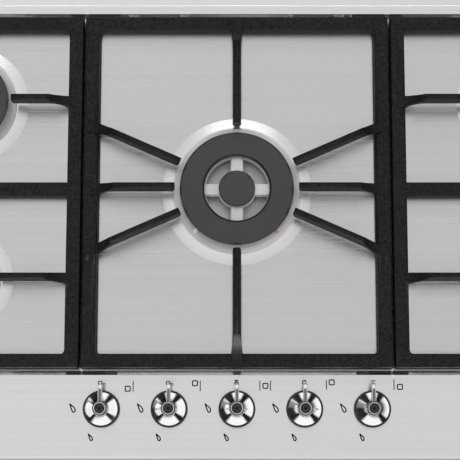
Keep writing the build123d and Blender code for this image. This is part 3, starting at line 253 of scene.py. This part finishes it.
def polish_walls_and_paint_glint(tree, shader):
    """Pressed walls keep the sheet's polish, where the flat faces are brushed; their colour is also lightened
    towards white, a painted highlight that brightens their reflection.
    """
    parts = tree.nodes.new("ShaderNodeSeparateXYZ")
    flat = add(tree, "ShaderNodeMapRange", in1=0.85, in2=0.99, in3=0.3, in4=1.0)
    rough = add(tree, "ShaderNodeMath", operation="MULTIPLY")
    tint = add(tree, "ShaderNodeMix", data_type="RGBA")
    # Painted highlight: the near-white colour that the walls take in place of the brushed tint.
    tint.inputs[6].default_value = (0.97, 0.97, 0.97, 1)
    brushed_gloss = shader.inputs["Roughness"].links[0].from_socket
    brushed_tint = shader.inputs["Base Color"].links[0].from_socket
    join(
        tree,
        (tree.nodes.new("ShaderNodeNewGeometry").outputs["Normal"], parts.inputs[0]),
        (parts.outputs["Z"], flat.inputs[0]),
        (brushed_gloss, rough.inputs[0]),
        (flat.outputs[0], rough.inputs[1]),
        (rough.outputs[0], shader.inputs["Roughness"]),
        (flat.outputs[0], tint.inputs[0]),
        (brushed_tint, tint.inputs[7]),
        (tint.outputs[2], shader.inputs["Base Color"]),
    )


def cast(
    name, light, dark, roughness, metallic=0.0, tooth=1400.0, cloud=22.0, depth=0.0001, strength=0.4, **more
):
    """A casting, moulding or enamel with a fine tooth and slightly uneven colour."""
    material, tree, shader, where = new_finish(name, metallic=metallic, **more)
    grain = place_group(tree, TOOTH, where, Tooth=tooth, Cloud=cloud)
    join(
        tree,
        (ramp(tree, grain["Cloud"], (0.3, dark), (0.7, light)), shader.inputs["Base Color"]),
        (
            ramp(tree, grain["Cloud"], (0.3, roughness + 0.05), (0.7, roughness - 0.05)),
            shader.inputs["Roughness"],
        ),
    )
    bump(tree, shader, grain["Tooth"], strength, depth)
    return material


def matt_at_grazing(material, level):
    """Takes the gloss off faces seen edge-on, as a cast skin's tooth does."""
    tree = material.node_tree
    facing = add(tree, "ShaderNodeLayerWeight").outputs["Facing"]
    gloss = add(tree, "ShaderNodeMapRange", in1=0.55, in2=0.9, in3=level, in4=0.0)
    shader = tree.nodes["Principled BSDF"]
    join(tree, (facing, gloss.inputs[0]), (gloss.outputs[0], shader.inputs["Specular IOR Level"]))
    return material


def grey(level):
    return (level, level, level)


def make_finishes():
    """One finish for each material slot of the record."""
    along_x = (6.0, 1300.0, 1300.0)
    along_z = (900.0, 900.0, 20.0)
    fine_bands = (60.0, 60.0, 60.0)
    return {
        "brushed_steel": brushed(
            "panel_steel",
            grey(0.70),
            grey(0.65),
            0.22,
            along_x,
            (1.2, 130.0, 130.0),
            strength=0.05,
            across=(0.0, 1.0, 0.0),
            metallic=0.95,
        ),
        "seal_rubber": cast("seal_rubber", grey(0.035), grey(0.025), 0.7),
        "galvanised": cast(
            "galvanised_sheet",
            (0.58, 0.59, 0.60),
            (0.44, 0.45, 0.47),
            0.42,
            metallic=0.9,
            tooth=300.0,
            cloud=90.0,
            strength=0.08,
        ),
        "zinc_plate": cast(
            "zinc_plate", (0.62, 0.61, 0.57), (0.5, 0.5, 0.48), 0.32, metallic=1.0, strength=0.1
        ),
        "steel_tube": brushed("steel_tube", grey(0.55), grey(0.45), 0.3, along_x, (3.0, 60.0, 60.0)),
        "brass": brushed(
            "turned_brass", (0.80, 0.60, 0.29), (0.68, 0.49, 0.22), 0.25, (700.0, 700.0, 700.0), fine_bands
        ),
        "ceramic": cast(
            "glazed_ceramic", (0.86, 0.84, 0.79), (0.80, 0.78, 0.73), 0.18, cloud=120.0, strength=0.05
        ),
        "copper_sheath": brushed(
            "copper_sheath", (0.72, 0.42, 0.28), (0.58, 0.33, 0.21), 0.3, along_z, fine_bands
        ),
        "black_plastic": cast("moulded_black", grey(0.045), grey(0.035), 0.45, tooth=2200.0),
        "white_plastic": cast("moulded_white", (0.80, 0.80, 0.78), (0.74, 0.74, 0.72), 0.4, tooth=2200.0),
        "lead_sleeve": cast("silicone_sleeve", (0.74, 0.72, 0.68), (0.66, 0.64, 0.60), 0.5),
        "aluminium": cast("die_cast", grey(0.70), grey(0.60), 0.4, metallic=1.0, tooth=900.0, strength=0.2),
        "cast_aluminium": cast(
            "blasted_casting",
            (0.66, 0.66, 0.65),
            (0.54, 0.54, 0.53),
            0.45,
            metallic=1.0,
            tooth=1500.0,
            strength=0.35,
        ),
        "chrome": cast("polished_chrome", grey(0.96), grey(0.93), 0.09, metallic=1.0, strength=0.02),
        "steel_shaft": brushed("drawn_shaft", grey(0.62), grey(0.52), 0.28, along_z, (60.0, 60.0, 3.0)),
        "black_enamel": cast(
            "satin_enamel",
            grey(0.022),
            grey(0.016),
            0.32,
            tooth=1800.0,
            strength=0.15,
            Coat_Weight=0.25,
            Coat_Roughness=0.2,
        ),
        "cast_iron": matt_at_grazing(
            cast(
                "enamelled_iron",
                grey(0.020),
                grey(0.0005),
                0.42,
                tooth=700.0,
                cloud=420.0,
                depth=0.00025,
                strength=1.0,
            ),
            0.14,
        ),
        "foot_rubber": cast("foot_rubber", grey(0.03), grey(0.02), 0.75),
    }


def make_trim_finishes():
    """The finishes of the pieces made here: the knobs' blades, rims and recesses, and the print, with a lighter
    copy of the blade's satin as a painted highlight.
    """
    along_y = (900.0, 8.0, 900.0)
    bands = (60.0, 3.0, 60.0)
    return {
        "knob_grey": brushed("blade_satin", grey(0.19), grey(0.13), 0.3, along_y, bands),
        # Painted highlight: the blade's satin made lighter, for the glint along the blade's eased edges and the
        # recess ring's flat top.
        "knob_light": brushed("painted_highlight_satin", grey(0.60), grey(0.50), 0.3, along_y, bands),
        # The dark recess finish also serves as painted shade on the band round each skirt's rim.
        "knob_dark": cast(
            "recess_lacquer",
            grey(0.060),
            grey(0.012),
            0.5,
            tooth=2500.0,
            cloud=700.0,
            Specular_IOR_Level=0.12,
        ),
        "printed": cast(
            "printed_mark", grey(0.003), grey(0.002), 0.6, strength=0.05, Specular_IOR_Level=0.05
        ),
    }


FINISH = make_finishes() | make_trim_finishes()
slot_of = {row["node"]: row["material_slot"] for row in frame["record"]["subparts"]}
for node_name, node in frame["nodes"].items():
    node.data.materials.clear()
    node.data.materials.append(FINISH[slot_of[node_name]])


# ---- Building shapes ----


def new_piece(name, mesh, *finishes):
    """An object at the origin that carries the mesh and its finishes."""
    piece = bpy.data.objects.new(name, mesh)
    bpy.context.scene.collection.objects.link(piece)
    for finish in finishes:
        mesh.materials.append(finish)
    return piece


def finish_shape(shape, name, *finishes):
    """Turns a built shape into a piece with its faces outwards."""
    bmesh.ops.recalc_face_normals(shape, faces=shape.faces[:])
    mesh = bpy.data.meshes.new(name)
    shape.to_mesh(mesh)
    shape.free()
    return new_piece(name, mesh, *finishes)


def smooth(mesh, angle=32.0):
    """Rounds the shading everywhere but over edges sharper than the angle."""
    mesh.polygons.foreach_set("use_smooth", [True] * len(mesh.polygons))
    mesh.set_sharp_from_angle(angle=math.radians(angle))
    mesh.update()


def turn(shape, profile, finishes, segments=96):
    """Turns a closed profile of (radius, height) points round the Z axis. finishes has one index per run."""
    rings = []
    for radius, height in profile:
        if radius < 1e-7:
            rings.append([shape.verts.new((0.0, 0.0, height))])
            continue
        angles = [math.tau * i / segments for i in range(segments)]
        rings.append([shape.verts.new((radius * math.cos(a), radius * math.sin(a), height)) for a in angles])
    for low, high, finish in zip(rings, rings[1:] + rings[:1], finishes):
        for i in range(segments):
            j = (i + 1) % segments
            if len(low) == 1 and len(high) == 1:
                break
            if len(low) == 1:
                corners = (low[0], high[j], high[i])
            elif len(high) == 1:
                corners = (low[i], low[j], high[0])
            else:
                corners = (low[i], low[j], high[j], high[i])
            shape.faces.new(corners).material_index = finish


def extruded(shape, outline, side, finish):
    """A prism from an outline of (y, z) points, to both sides of x = 0."""
    near = [shape.verts.new((-side, y, z)) for y, z in outline]
    far = [shape.verts.new((side, y, z)) for y, z in outline]
    made = [shape.faces.new(near), shape.faces.new(list(reversed(far)))]
    for i in range(len(outline)):
        j = (i + 1) % len(outline)
        made.append(shape.faces.new((near[j], near[i], far[i], far[j])))
    for face in made:
        face.material_index = finish
    return made


# ---- Grates: copies of the castings, whose fingers get drafted flanks and eased upper edges ----

# Millimetres, with levels above the worktop, as in the CAD model.
BAR_WIDTH = 17.0
BAR_LOW = 11.0
BAR_TOP = 20.0
FINGER_TOP = 44.0
RAMP = ((2.6, 20.0), (23.0, 28.6), (35.5, 44.0))
WOK_SLANT = math.atan2(75.0, 170.5)
HALF_WIDTH_ABOVE = 3.1
HALF_WIDTH_BELOW = 6.1
FLANK_REACH = (2.0, 8.4)
SAME_LEVEL = 0.05
NEAR_TOP = 0.35
EASE = 0.6


def circle_through(a, b, c):
    """Middle and radius of the circle through three points."""
    ab, ac = (b[0] - a[0], b[1] - a[1]), (c[0] - a[0], c[1] - a[1])
    turned = 2 * (ab[0] * ac[1] - ab[1] * ac[0])
    ab2, ac2 = ab[0] ** 2 + ab[1] ** 2, ac[0] ** 2 + ac[1] ** 2
    x = a[0] + (ac[1] * ab2 - ab[1] * ac2) / turned
    y = a[1] + (ab[0] * ac2 - ac[0] * ab2) / turned
    return x, y, math.hypot(a[0] - x, a[1] - y)


def ramp_height(along):
    """Level of a finger's upper side at a distance from its bar's outer edge."""
    x, y, radius = circle_through(*RAMP)
    if along >= RAMP[2][0]:
        return FINGER_TOP
    if along <= RAMP[0][0]:
        return BAR_TOP
    return y - math.sqrt(max(radius**2 - (along - x) ** 2, 0.0))


def flank(level):
    """Half the width of a finger at a level, so that a ramp's face spreads as it comes down."""
    share = (FINGER_TOP - max(level, BAR_TOP)) / (FINGER_TOP - BAR_TOP)
    return HALF_WIDTH_ABOVE + (HALF_WIDTH_BELOW - HALF_WIDTH_ABOVE) * share


def finger_lines(name, length, depth):
    """Each finger as its outer end, its direction and the way its bar runs, from the grate's middle."""
    lines = []
    if name == "centre":
        for side in (-1, 1):
            lines.append(((0.0, side * depth / 2), (0.0, -side), (1.0, 0.0)))
            for slant in (-WOK_SLANT, 0.0, WOK_SLANT):
                start = (side * length / 2, side * length / 2 * math.tan(slant))
                lines.append((start, (-side * math.cos(slant), -side * math.sin(slant)), (0.0, 1.0)))
        return lines
    for row in (-1, 1):
        lines.append(((0.0, row * depth / 2), (0.0, -row), (1.0, 0.0)))
        lines.append(((0.0, -row * BAR_WIDTH / 2), (0.0, row), (1.0, 0.0)))
        for side in (-1, 1):
            lines.append(((side * length / 2, row * depth / 4), (-side, 0.0), (0.0, 1.0)))
    return lines


def merged_copy(node):
    """A node's loose triangles as one merged shape with whole faces."""
    shape = bmesh.new()
    shape.from_mesh(node.data)
    bmesh.ops.remove_doubles(shape, verts=shape.verts[:], dist=0.001 * MM)
    bmesh.ops.dissolve_limit(shape, angle_limit=0.01, verts=shape.verts[:], edges=shape.edges[:])
    return shape


def draft_fingers(shape, lines, middle, reach):
    """Moves the fingers' sides out to their flanks; gives the corners along their upper edges."""
    upper = set()
    for corner in shape.verts:
        x, y, z = corner.co.x / MM - middle[0], corner.co.y / MM - middle[1], corner.co.z / MM
        if z < BAR_LOW - SAME_LEVEL:
            continue
        for (x0, y0), (dx, dy), bar in lines:
            along = (x - x0) * dx + (y - y0) * dy
            across = (y - y0) * dx - (x - x0) * dy
            if not (-0.1 < along < reach and FLANK_REACH[0] < abs(across) < FLANK_REACH[1]):
                continue
            # A corner on the bar slides along the bar. Any other one goes straight out from the finger.
            way = bar if z < BAR_TOP + SAME_LEVEL else (-dy, dx)
            move = (math.copysign(flank(z), across) - across) / (way[1] * dx - way[0] * dy)
            corner.co.x += way[0] * move * MM
            corner.co.y += way[1] * move * MM
            if ramp_height(along) - z < NEAR_TOP and z > BAR_TOP + 1.0:
                upper.add(corner)
            break
    return upper


def dress_grate(name):
    """A grate whose fingers have flanks that spread downwards, and eased upper edges."""
    low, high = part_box(f"grate_{name}")
    middle = ((low[0] + high[0]) / 2 / MM, (low[1] + high[1]) / 2 / MM)
    length, depth = (high[0] - low[0]) / MM, (high[1] - low[1]) / MM
    reach = max(length, depth) / 2 if name == "centre" else depth / 4
    shape = merged_copy(frame["nodes"][f"grate_{name}"])
    upper = draft_fingers(shape, finger_lines(name, length, depth), middle, reach)
    edges = [e for e in shape.edges if all(v in upper for v in e.verts) and e.calc_face_angle(0.0) > 0.6]
    bmesh.ops.bevel(shape, geom=edges, offset=EASE * MM, segments=2, affect="EDGES", clamp_overlap=True)
    piece = finish_shape(shape, f"cast_grate_{name}", FINISH["cast_iron"])
    smooth(piece.data)
    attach(piece, f"grate_{name}")
    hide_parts(f"grate_{name}")
    return piece


cast_grates = [dress_grate(name) for name in GRATES]


# ---- Knobs ----

KNOB_SLOTS = ("chrome", "knob_grey", "knob_dark", "knob_light")
CHROME, GREY, DARK, LIGHT = range(4)
FLARE_STEPS = 12
# The blade from its root beside the recess, over its nose and back below, as (distance from the axis, level).
BLADE = (
    (3.4, 33.6),
    (21.4, 31.2),
    (25.4, 29.6),
    (26.6, 28.8),
    (27.0, 27.8),
    (26.4, 26.8),
    (24.5, 25.9),
    (3.4, 22.6),
)
BLADE_HALF = 2.2
BLADE_EASE = 0.8
# Beyond this distance from the knob's axis and above this level, the blade's end is chromed.
BLADE_NOSE = (21.6, 28.0)


def flare():
    """The bell-shaped skirt: a curve that starts steep at the neck and flattens towards the rim."""
    shares = [i / FLARE_STEPS for i in range(1, FLARE_STEPS + 1)]
    return [(8.1 + 9.65 * t, 21.8 - 7.87 * t + 1.11 * t * t) for t in shares]


def knob_profile():
    """Outline of the turned knob, from the recess outwards and back along the hollow underside."""
    runs = (
        (DARK, [(0.0, 31.0), (1.1, 31.0), (1.2, 31.2), (1.2, 34.9), (1.4, 35.15)]),
        (DARK, [(3.2, 35.2), (5.0, 35.2), (5.25, 35.35)]),
        # Painted highlight: the ring's flat top is in the lighter satin, its flanks dark.
        (LIGHT, [(5.5, 35.85), (5.7, 36.0), (6.45, 36.0)]),
        (DARK, [(6.7, 35.8), (7.0, 34.8), (7.2, 34.5)]),
        (GREY, [(7.5, 34.4)]),
        (CHROME, [(7.75, 34.4), (7.85, 34.2), (7.88, 30.0), (7.9, 22.2), (8.1, 21.8)]),
        (CHROME, flare()),
        # Painted shade: a dark band round the skirt's rim stands in for the shade and dark reflection of the
        # gap at its edge.
        (DARK, [(17.75, 14.95), (19.9, 13.9), (20.0, 13.7)]),
        (CHROME, [(20.0, 12.6), (19.9, 12.5), (18.5, 12.5), (18.4, 12.6), (18.4, 13.2)]),
        (CHROME, [(8.9, 18.7), (6.2, 18.7), (6.2, 14.1), (0.0, 14.1)]),
    )
    points = [(r * MM, z * MM) for _, corners in runs for r, z in corners]
    return points, [finish for finish, corners in runs for _ in corners]


def make_knob(name, x):
    """A knob with its skirt, recessed end and pointer blade, in place of the plain one."""
    shape = bmesh.new()
    turn(shape, *knob_profile())
    faces = extruded(shape, [(y * MM, z * MM) for y, z in BLADE], BLADE_HALF * MM, GREY)
    rims = {edge for face in faces for edge in face.edges}
    # The eased edges take the lighter satin: a painted highlight along the blade's edges.
    bmesh.ops.bevel(
        shape, geom=list(rims), offset=BLADE_EASE * MM, segments=2, affect="EDGES", material=LIGHT
    )
    for face in shape.faces:
        middle = face.calc_center_median()
        in_nose = middle.y > BLADE_NOSE[0] * MM and middle.z > BLADE_NOSE[1] * MM
        if in_nose and face.material_index == GREY:
            face.material_index = CHROME
    bmesh.ops.translate(shape, verts=shape.verts, vec=(x, KNOB_Y, 0))
    piece = finish_shape(shape, f"dressed_knob_{name}", *(FINISH[slot] for slot in KNOB_SLOTS))
    smooth(piece.data, 28.0)
    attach(piece, f"knob_{name}")
    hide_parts(f"knob_{name}")
    return piece


dressed_knobs = [make_knob(burner, (place - 2) * KNOB_PITCH) for place, burner in enumerate(BURNERS)]


# ---- Marks printed on the control strip ----

MARK_LOW = PLATE_TOP - 0.05 * MM
MARK_HIGH = PLATE_TOP + 0.06 * MM


def stroke(shape, points, width, closed=True):
    """A thin printed line along points, given in millimetres on the strip."""
    count = len(points)
    rails = []
    for i, (x, y) in enumerate(points):
        before = points[(i - 1) % count] if closed or i else points[i]
        after = points[(i + 1) % count] if closed or i < count - 1 else points[i]
        along = Vector((after[0] - before[0], after[1] - before[1])).normalized()
        aside = Vector((-along.y, along.x)) * width / 2
        if closed or 0 < i < count - 1:
            into = Vector((x - before[0], y - before[1])).normalized()
            aside = aside / max(0.5, abs(along.dot(into)))
        rails.append([((x + s * aside.x) * MM, (y + s * aside.y) * MM) for s in (-1, 1)])
    rings = []
    for (rx, ry), (lx, ly) in rails:
        corners = ((rx, ry, MARK_LOW), (rx, ry, MARK_HIGH), (lx, ly, MARK_HIGH), (lx, ly, MARK_LOW))
        rings.append([shape.verts.new(c) for c in corners])
    pairs = list(zip(rings, rings[1:] + rings[:1])) if closed else list(zip(rings, rings[1:]))
    for near, far in pairs:
        for i in range(4):
            j = (i + 1) % 4
            shape.faces.new((near[i], near[j], far[j], far[i]))
    if not closed:
        shape.faces.new(list(reversed(rings[0])))
        shape.faces.new(rings[-1])


def curved(corners, steps=5):
    """A smooth closed line through the corners, as a cubic curve from each one to the next."""
    count = len(corners)
    points = []
    for i in range(count):
        a, b, c, d = (Vector(corners[(i + k) % count]) for k in (-1, 0, 1, 2))
        for step in range(steps):
            t = step / steps
            square, cube = 2 * a - 5 * b + 4 * c - d, 3 * b - a - 3 * c + d
            point = (2 * b + (c - a) * t + square * t**2 + cube * t**3) / 2
            points.append((point.x, point.y))
    return points


# A flame at size 1, from its tip down the full side and up the flat one, as (distance from tip, sideways).
FLAME = (
    (0.0, 0.0),
    (2.0, 0.9),
    (4.3, 2.0),
    (6.8, 2.5),
    (8.9, 1.9),
    (9.7, 0.3),
    (8.9, -0.8),
    (6.3, -0.9),
    (3.2, -0.5),
)


def flame(tip_x, tip_y, size, lean):
    """Outline of a flame with its tip at a place, that leans away from upright."""
    along = Vector((math.sin(lean), -math.cos(lean)))
    aside = Vector((math.cos(lean), math.sin(lean)))
    corners = [Vector((tip_x, tip_y)) + size * (u * along + v * aside) for u, v in FLAME]
    return curved(corners)


def box_outline(x, y, width, height, corner=0.9):
    """A rectangle with rounded corners, from its middle."""
    points = []
    for turn_at, (sx, sy) in enumerate(((1, -1), (1, 1), (-1, 1), (-1, -1))):
        for step in range(4):
            angle = math.radians(-90 + 90 * turn_at + 30 * step)
            points.append(
                (
                    x + sx * (width / 2 - corner) + corner * math.cos(angle),
                    y + sy * (height / 2 - corner) + corner * math.sin(angle),
                )
            )
    return points


# The large and the small flame, from the knob's middle: the outlines as (tip x, tip y, size, lean in degrees)
# and the thick dashes in their tips as (x, y, size).
FLAME_OUTLINES = ((-34.5, 5.5, 1.03, 27.0), (-13.8, -26.9, 0.8, 25.0))
FLAME_TIPS = ((-34.1, 4.7, 1.0), (-13.5, -27.7, 0.9))
FLAME_LINE = 1.35


def make_flame_marks():
    """A large and a small flame beside each knob, laid out for one knob and repeated by the knobs' pitch."""
    shape = bmesh.new()
    for x, y, size, lean in FLAME_OUTLINES:
        stroke(shape, flame(x, y, size, math.radians(lean)), FLAME_LINE)
    for x, y, size in FLAME_TIPS:
        dash = [(x - 0.3 * size, y + 0.6 * size), (x + 0.6 * size, y - 1.0 * size)]
        stroke(shape, dash, 1.3 * size, closed=False)
    single = finish_shape(shape, "flame_marks", FINISH["printed"])
    repeat_along_strip(single, len(BURNERS), KNOB_PITCH, FINISH["printed"])
    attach(single, "hob")


def repeat_along_strip(piece, count, pitch, finish):
    """Geometry nodes: copies of the piece at each knob, turned into one plain mesh."""
    tree = bpy.data.node_groups.new("knob_row", "GeometryNodeTree")
    interface = tree.interface
    interface.new_socket("Geometry", in_out="INPUT", socket_type="NodeSocketGeometry")
    sockets = {
        "Count": interface.new_socket("Count", in_out="INPUT", socket_type="NodeSocketInt"),
        "Pitch": interface.new_socket("Pitch", in_out="INPUT", socket_type="NodeSocketFloat"),
        "Start": interface.new_socket("Start", in_out="INPUT", socket_type="NodeSocketVector"),
    }
    interface.new_socket("Geometry", in_out="OUTPUT", socket_type="NodeSocketGeometry")
    given = tree.nodes.new("NodeGroupInput").outputs
    out = tree.nodes.new("NodeGroupOutput").inputs
    row = add(tree, "GeometryNodeMeshLine", mode="OFFSET")
    step = tree.nodes.new("ShaderNodeCombineXYZ")
    copies = tree.nodes.new("GeometryNodeInstanceOnPoints")
    real = tree.nodes.new("GeometryNodeRealizeInstances")
    dressed = tree.nodes.new("GeometryNodeSetMaterial")
    dressed.inputs["Material"].default_value = finish
    join(
        tree,
        (given["Count"], row.inputs["Count"]),
        (given["Start"], row.inputs["Start Location"]),
        (given["Pitch"], step.inputs["X"]),
        (step.outputs[0], row.inputs["Offset"]),
        (row.outputs[0], copies.inputs["Points"]),
        (given["Geometry"], copies.inputs["Instance"]),
        (copies.outputs[0], real.inputs[0]),
        (real.outputs[0], dressed.inputs["Geometry"]),
        (dressed.outputs[0], out["Geometry"]),
    )
    modifier = piece.modifiers.new("knob_row", "NODES")
    modifier.node_group = tree
    modifier[sockets["Count"].identifier] = count
    modifier[sockets["Pitch"].identifier] = pitch
    modifier[sockets["Start"].identifier] = (-(count - 1) / 2 * pitch, KNOB_Y, 0.0)
    bpy.context.view_layer.update()
    plain = bpy.data.meshes.new_from_object(piece.evaluated_get(bpy.context.evaluated_depsgraph_get()))
    piece.modifiers.clear()
    piece.data = plain


# For each knob, from its own middle: the square that stands for the hob, the bars beside it (x, y, length),
# and the off sign above the blade as bars (x, y, length, width), boxes (x, y, width, height) and a ring.
PLACE_MARKS = (
    {
        "square": (28.2, 22.0),
        "bars": [(34.1, 24.6, 11.4)],
        "off_boxes": [(-1.8, 28.2, 4.0, 3.4)],
        "ring": (2.5, 26.8),
    },
    {
        "square": (27.9, 27.9),
        "bars": [(33.6, 25.1, 11.3)],
        "off_boxes": [(-1.4, 28.2, 4.0, 3.4)],
        "ring": (2.7, 27.0),
    },
    {
        "square": (31.0, 25.1),
        "bars": [(25.0, 25.3, 10.8), (36.6, 25.3, 10.8)],
        "off_bars": [(-0.6, 30.6, 3.8, 1.7)],
        "off_boxes": [(-0.6, 27.9, 4.2, 1.8)],
    },
    {
        "square": (29.7, 28.9),
        "bars": [(23.9, 26.3, 10.2)],
        "off_bars": [(0.1, 30.8, 3.6, 0.9)],
        "off_boxes": [(-0.2, 28.9, 3.8, 3.0)],
    },
    {
        "square": (30.4, 24.0),
        "bars": [(24.0, 26.4, 11.3)],
        "off_bars": [(1.5, 30.4, 4.2, 1.2), (1.3, 28.0, 4.4, 0.7)],
    },
)


def make_place_marks():
    """Which burner each knob serves, and the knob's off position: different for each knob."""
    shape = bmesh.new()
    for place, marks in enumerate(PLACE_MARKS):
        x0, y0 = (place - 2) * KNOB_PITCH / MM, KNOB_Y / MM
        x, y = marks["square"]
        stroke(shape, box_outline(x0 + x, y0 + y, 5.3, 5.3), 1.25)
        for x, y, length in marks["bars"]:
            stroke(shape, [(x0 + x, y0 + y - length / 2), (x0 + x, y0 + y + length / 2)], 1.0, closed=False)
        for x, y, length, width in marks.get("off_bars", ()):
            stroke(shape, [(x0 + x - length / 2, y0 + y), (x0 + x + length / 2, y0 + y)], width, closed=False)
        for x, y, width, height in marks.get("off_boxes", ()):
            stroke(shape, box_outline(x0 + x, y0 + y, width, height, 0.8), 1.0)
        if "ring" in marks:
            x, y = marks["ring"]
            stroke(shape, box_outline(x0 + x, y0 + y, 2.5, 2.5, 1.2), 0.7)
    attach(finish_shape(shape, "place_marks", FINISH["printed"]), "hob")


make_flame_marks()
make_place_marks()


# ---- Room: floor, light and camera ----

FLOOR_REACH = 6.0
FLOOR_LEVEL = TRAY_UNDER - 0.6 * MM
STRIP_MIDDLE = (0.0, -0.15, 0.03)

# How bright the room's walls look in metal, by degrees from the back (+Y) round by the right (+X). The dark
# panels give the knobs' skirts their dark sectors.
WALL_PANELS = (
    (18, 1.0),
    (26, 0.01),
    (42, 0.01),
    (50, 1.0),
    (115, 0.95),
    (122, 0.01),
    (138, 0.01),
    (146, 1.0),
    (215, 1.0),
    (226, 0.01),
    (272, 0.01),
    (283, 0.2),
    (302, 0.3),
    (308, 0.9),
    (315, 0.03),
    (340, 0.01),
    (347, 1.0),
)


def make_floor():
    """A plain pale floor, just clear of the tray's underside."""
    mesh = bpy.data.meshes.new("floor")
    signs = ((-1, -1), (1, -1), (1, 1), (-1, 1))
    corners = [(x * FLOOR_REACH, y * FLOOR_REACH, FLOOR_LEVEL) for x, y in signs]
    mesh.from_pydata(corners, [], [(0, 1, 2, 3)])
    material, _, shader, _ = new_finish("pale_floor", roughness=0.9)
    shader.inputs["Base Color"].default_value = (0.86, 0.86, 0.86, 1)
    new_piece("floor", mesh, material)


def make_world():
    """A white room for the camera; for metal it has dark panels round its walls and a bright ceiling."""
    world = bpy.data.worlds.new("studio")
    bpy.context.scene.world = world
    world.use_nodes = True
    tree = world.node_tree
    background = tree.nodes["Background"]
    direction = tree.nodes.new("ShaderNodeTexCoord").outputs["Generated"]
    parts = tree.nodes.new("ShaderNodeSeparateXYZ")
    bearing = add(tree, "ShaderNodeMath", operation="ARCTAN2")
    share = add(tree, "ShaderNodeMath", operation="MULTIPLY_ADD", in1=1 / math.tau, in2=0.5)
    stops = sorted(((angle / 360 + 0.5) % 1, level) for angle, level in WALL_PANELS)
    walls = ramp(tree, share.outputs[0], *stops)
    ceiling = ramp(tree, parts.outputs["Z"], (0.0, 0.0), (0.56, 0.0), (0.70, 1.0))
    skirting = ramp(tree, parts.outputs["Z"], (0.0, 0.02), (0.17, 0.02), (0.30, 1.0))
    ceiling_level = add(tree, "ShaderNodeMapRange", in1=-0.16, in2=0.06, in3=0.985, in4=0.94)
    low_walls = add(tree, "ShaderNodeMix", data_type="RGBA", blend_type="MULTIPLY")
    low_walls.inputs[0].default_value = 1.0
    room = add(tree, "ShaderNodeMix", data_type="RGBA")
    rays = tree.nodes.new("ShaderNodeLightPath").outputs
    in_metal = add(tree, "ShaderNodeMix", data_type="RGBA")
    in_metal.inputs[6].default_value = (0.78, 0.78, 0.78, 1)
    behind = add(tree, "ShaderNodeMix", data_type="RGBA")
    behind.inputs[7].default_value = (1, 1, 1, 1)
    join(
        tree,
        (direction, parts.inputs[0]),
        (parts.outputs["X"], bearing.inputs[0]),
        (parts.outputs["Y"], bearing.inputs[1]),
        (bearing.outputs[0], share.inputs[0]),
        (walls, low_walls.inputs[6]),
        (skirting, low_walls.inputs[7]),
        (low_walls.outputs[2], room.inputs[6]),
        (ceiling, room.inputs[0]),
        (parts.outputs["X"], ceiling_level.inputs[0]),
        (ceiling_level.outputs[0], room.inputs[7]),
        (rays["Is Glossy Ray"], in_metal.inputs[0]),
        (room.outputs[2], in_metal.inputs[7]),
        (rays["Is Camera Ray"], behind.inputs[0]),
        (in_metal.outputs[2], behind.inputs[6]),
        (behind.outputs[2], background.inputs["Color"]),
    )


def aim(thing, place, target):
    """Puts a lamp or camera in place, looking at the target with its top upwards."""
    bpy.context.scene.collection.objects.link(thing)
    thing.location = place
    thing.rotation_mode = "QUATERNION"
    thing.rotation_quaternion = (Vector(target) - thing.location).to_track_quat("-Z", "Y")


def make_softbox(name, place, size, energy, pieces):
    """A long softbox that only shows as a glint on some pieces."""
    light = bpy.data.lights.new(name, "AREA")
    light.shape = "RECTANGLE"
    light.size, light.size_y = size
    light.energy = energy
    box = bpy.data.objects.new(name, light)
    aim(box, place, STRIP_MIDDLE)
    box.visible_diffuse = False
    lit = bpy.data.collections.new("lit_by_" + name)
    for piece in pieces:
        lit.objects.link(piece)
    box.light_linking.receiver_collection = lit


def make_key_light():
    """The round lamp at the back left, which metal does not show."""
    light = bpy.data.lights.new("key", "AREA")
    light.shape = "DISK"
    light.size = 1.5
    light.energy = 14.0
    key = bpy.data.objects.new("key", light)
    aim(key, (-1.0, 0.8, 1.9), (0.0, 0.0, 0.0))
    key.visible_glossy = False


def make_camera():
    """Straight above the front edge, as in the photo, with a long lens."""
    lens = bpy.data.cameras.new("camera")
    lens.lens = 113.9
    lens.sensor_width = 36.0
    lens.shift_x = -0.015
    lens.clip_end = 20.0
    camera = bpy.data.objects.new("camera", lens)
    aim(camera, (0.0, -0.255, 1.600), (0.0, -0.0047, PLATE_TOP))
    bpy.context.scene.camera = camera


make_floor()
make_world()
top_plate = [frame["nodes"]["hob_top"]]
make_softbox("front_box", (0.0, -1.7, 0.34), (1.6, 0.4), 26.0, cast_grates)
make_softbox("low_box", (0.0, -1.7, -0.1), (1.6, 0.2), 260.0, cast_grates)
make_softbox("left_box", (-1.7, -0.25, 0.39), (1.8, 0.46), 2.3, dressed_knobs)
make_softbox("left_wall", (-2.0, 0.0, 0.75), (3.0, 1.2), 6.8, top_plate)
make_softbox("right_wall", (2.0, 0.0, 0.75), (3.0, 1.2), 6.8, top_plate)
make_softbox("rear_box", (0.0, 1.68, 1.1), (2.4, 0.25), 6.0, top_plate)
make_key_light()
make_camera()
bpy.context.scene.view_settings.view_transform = "Standard"
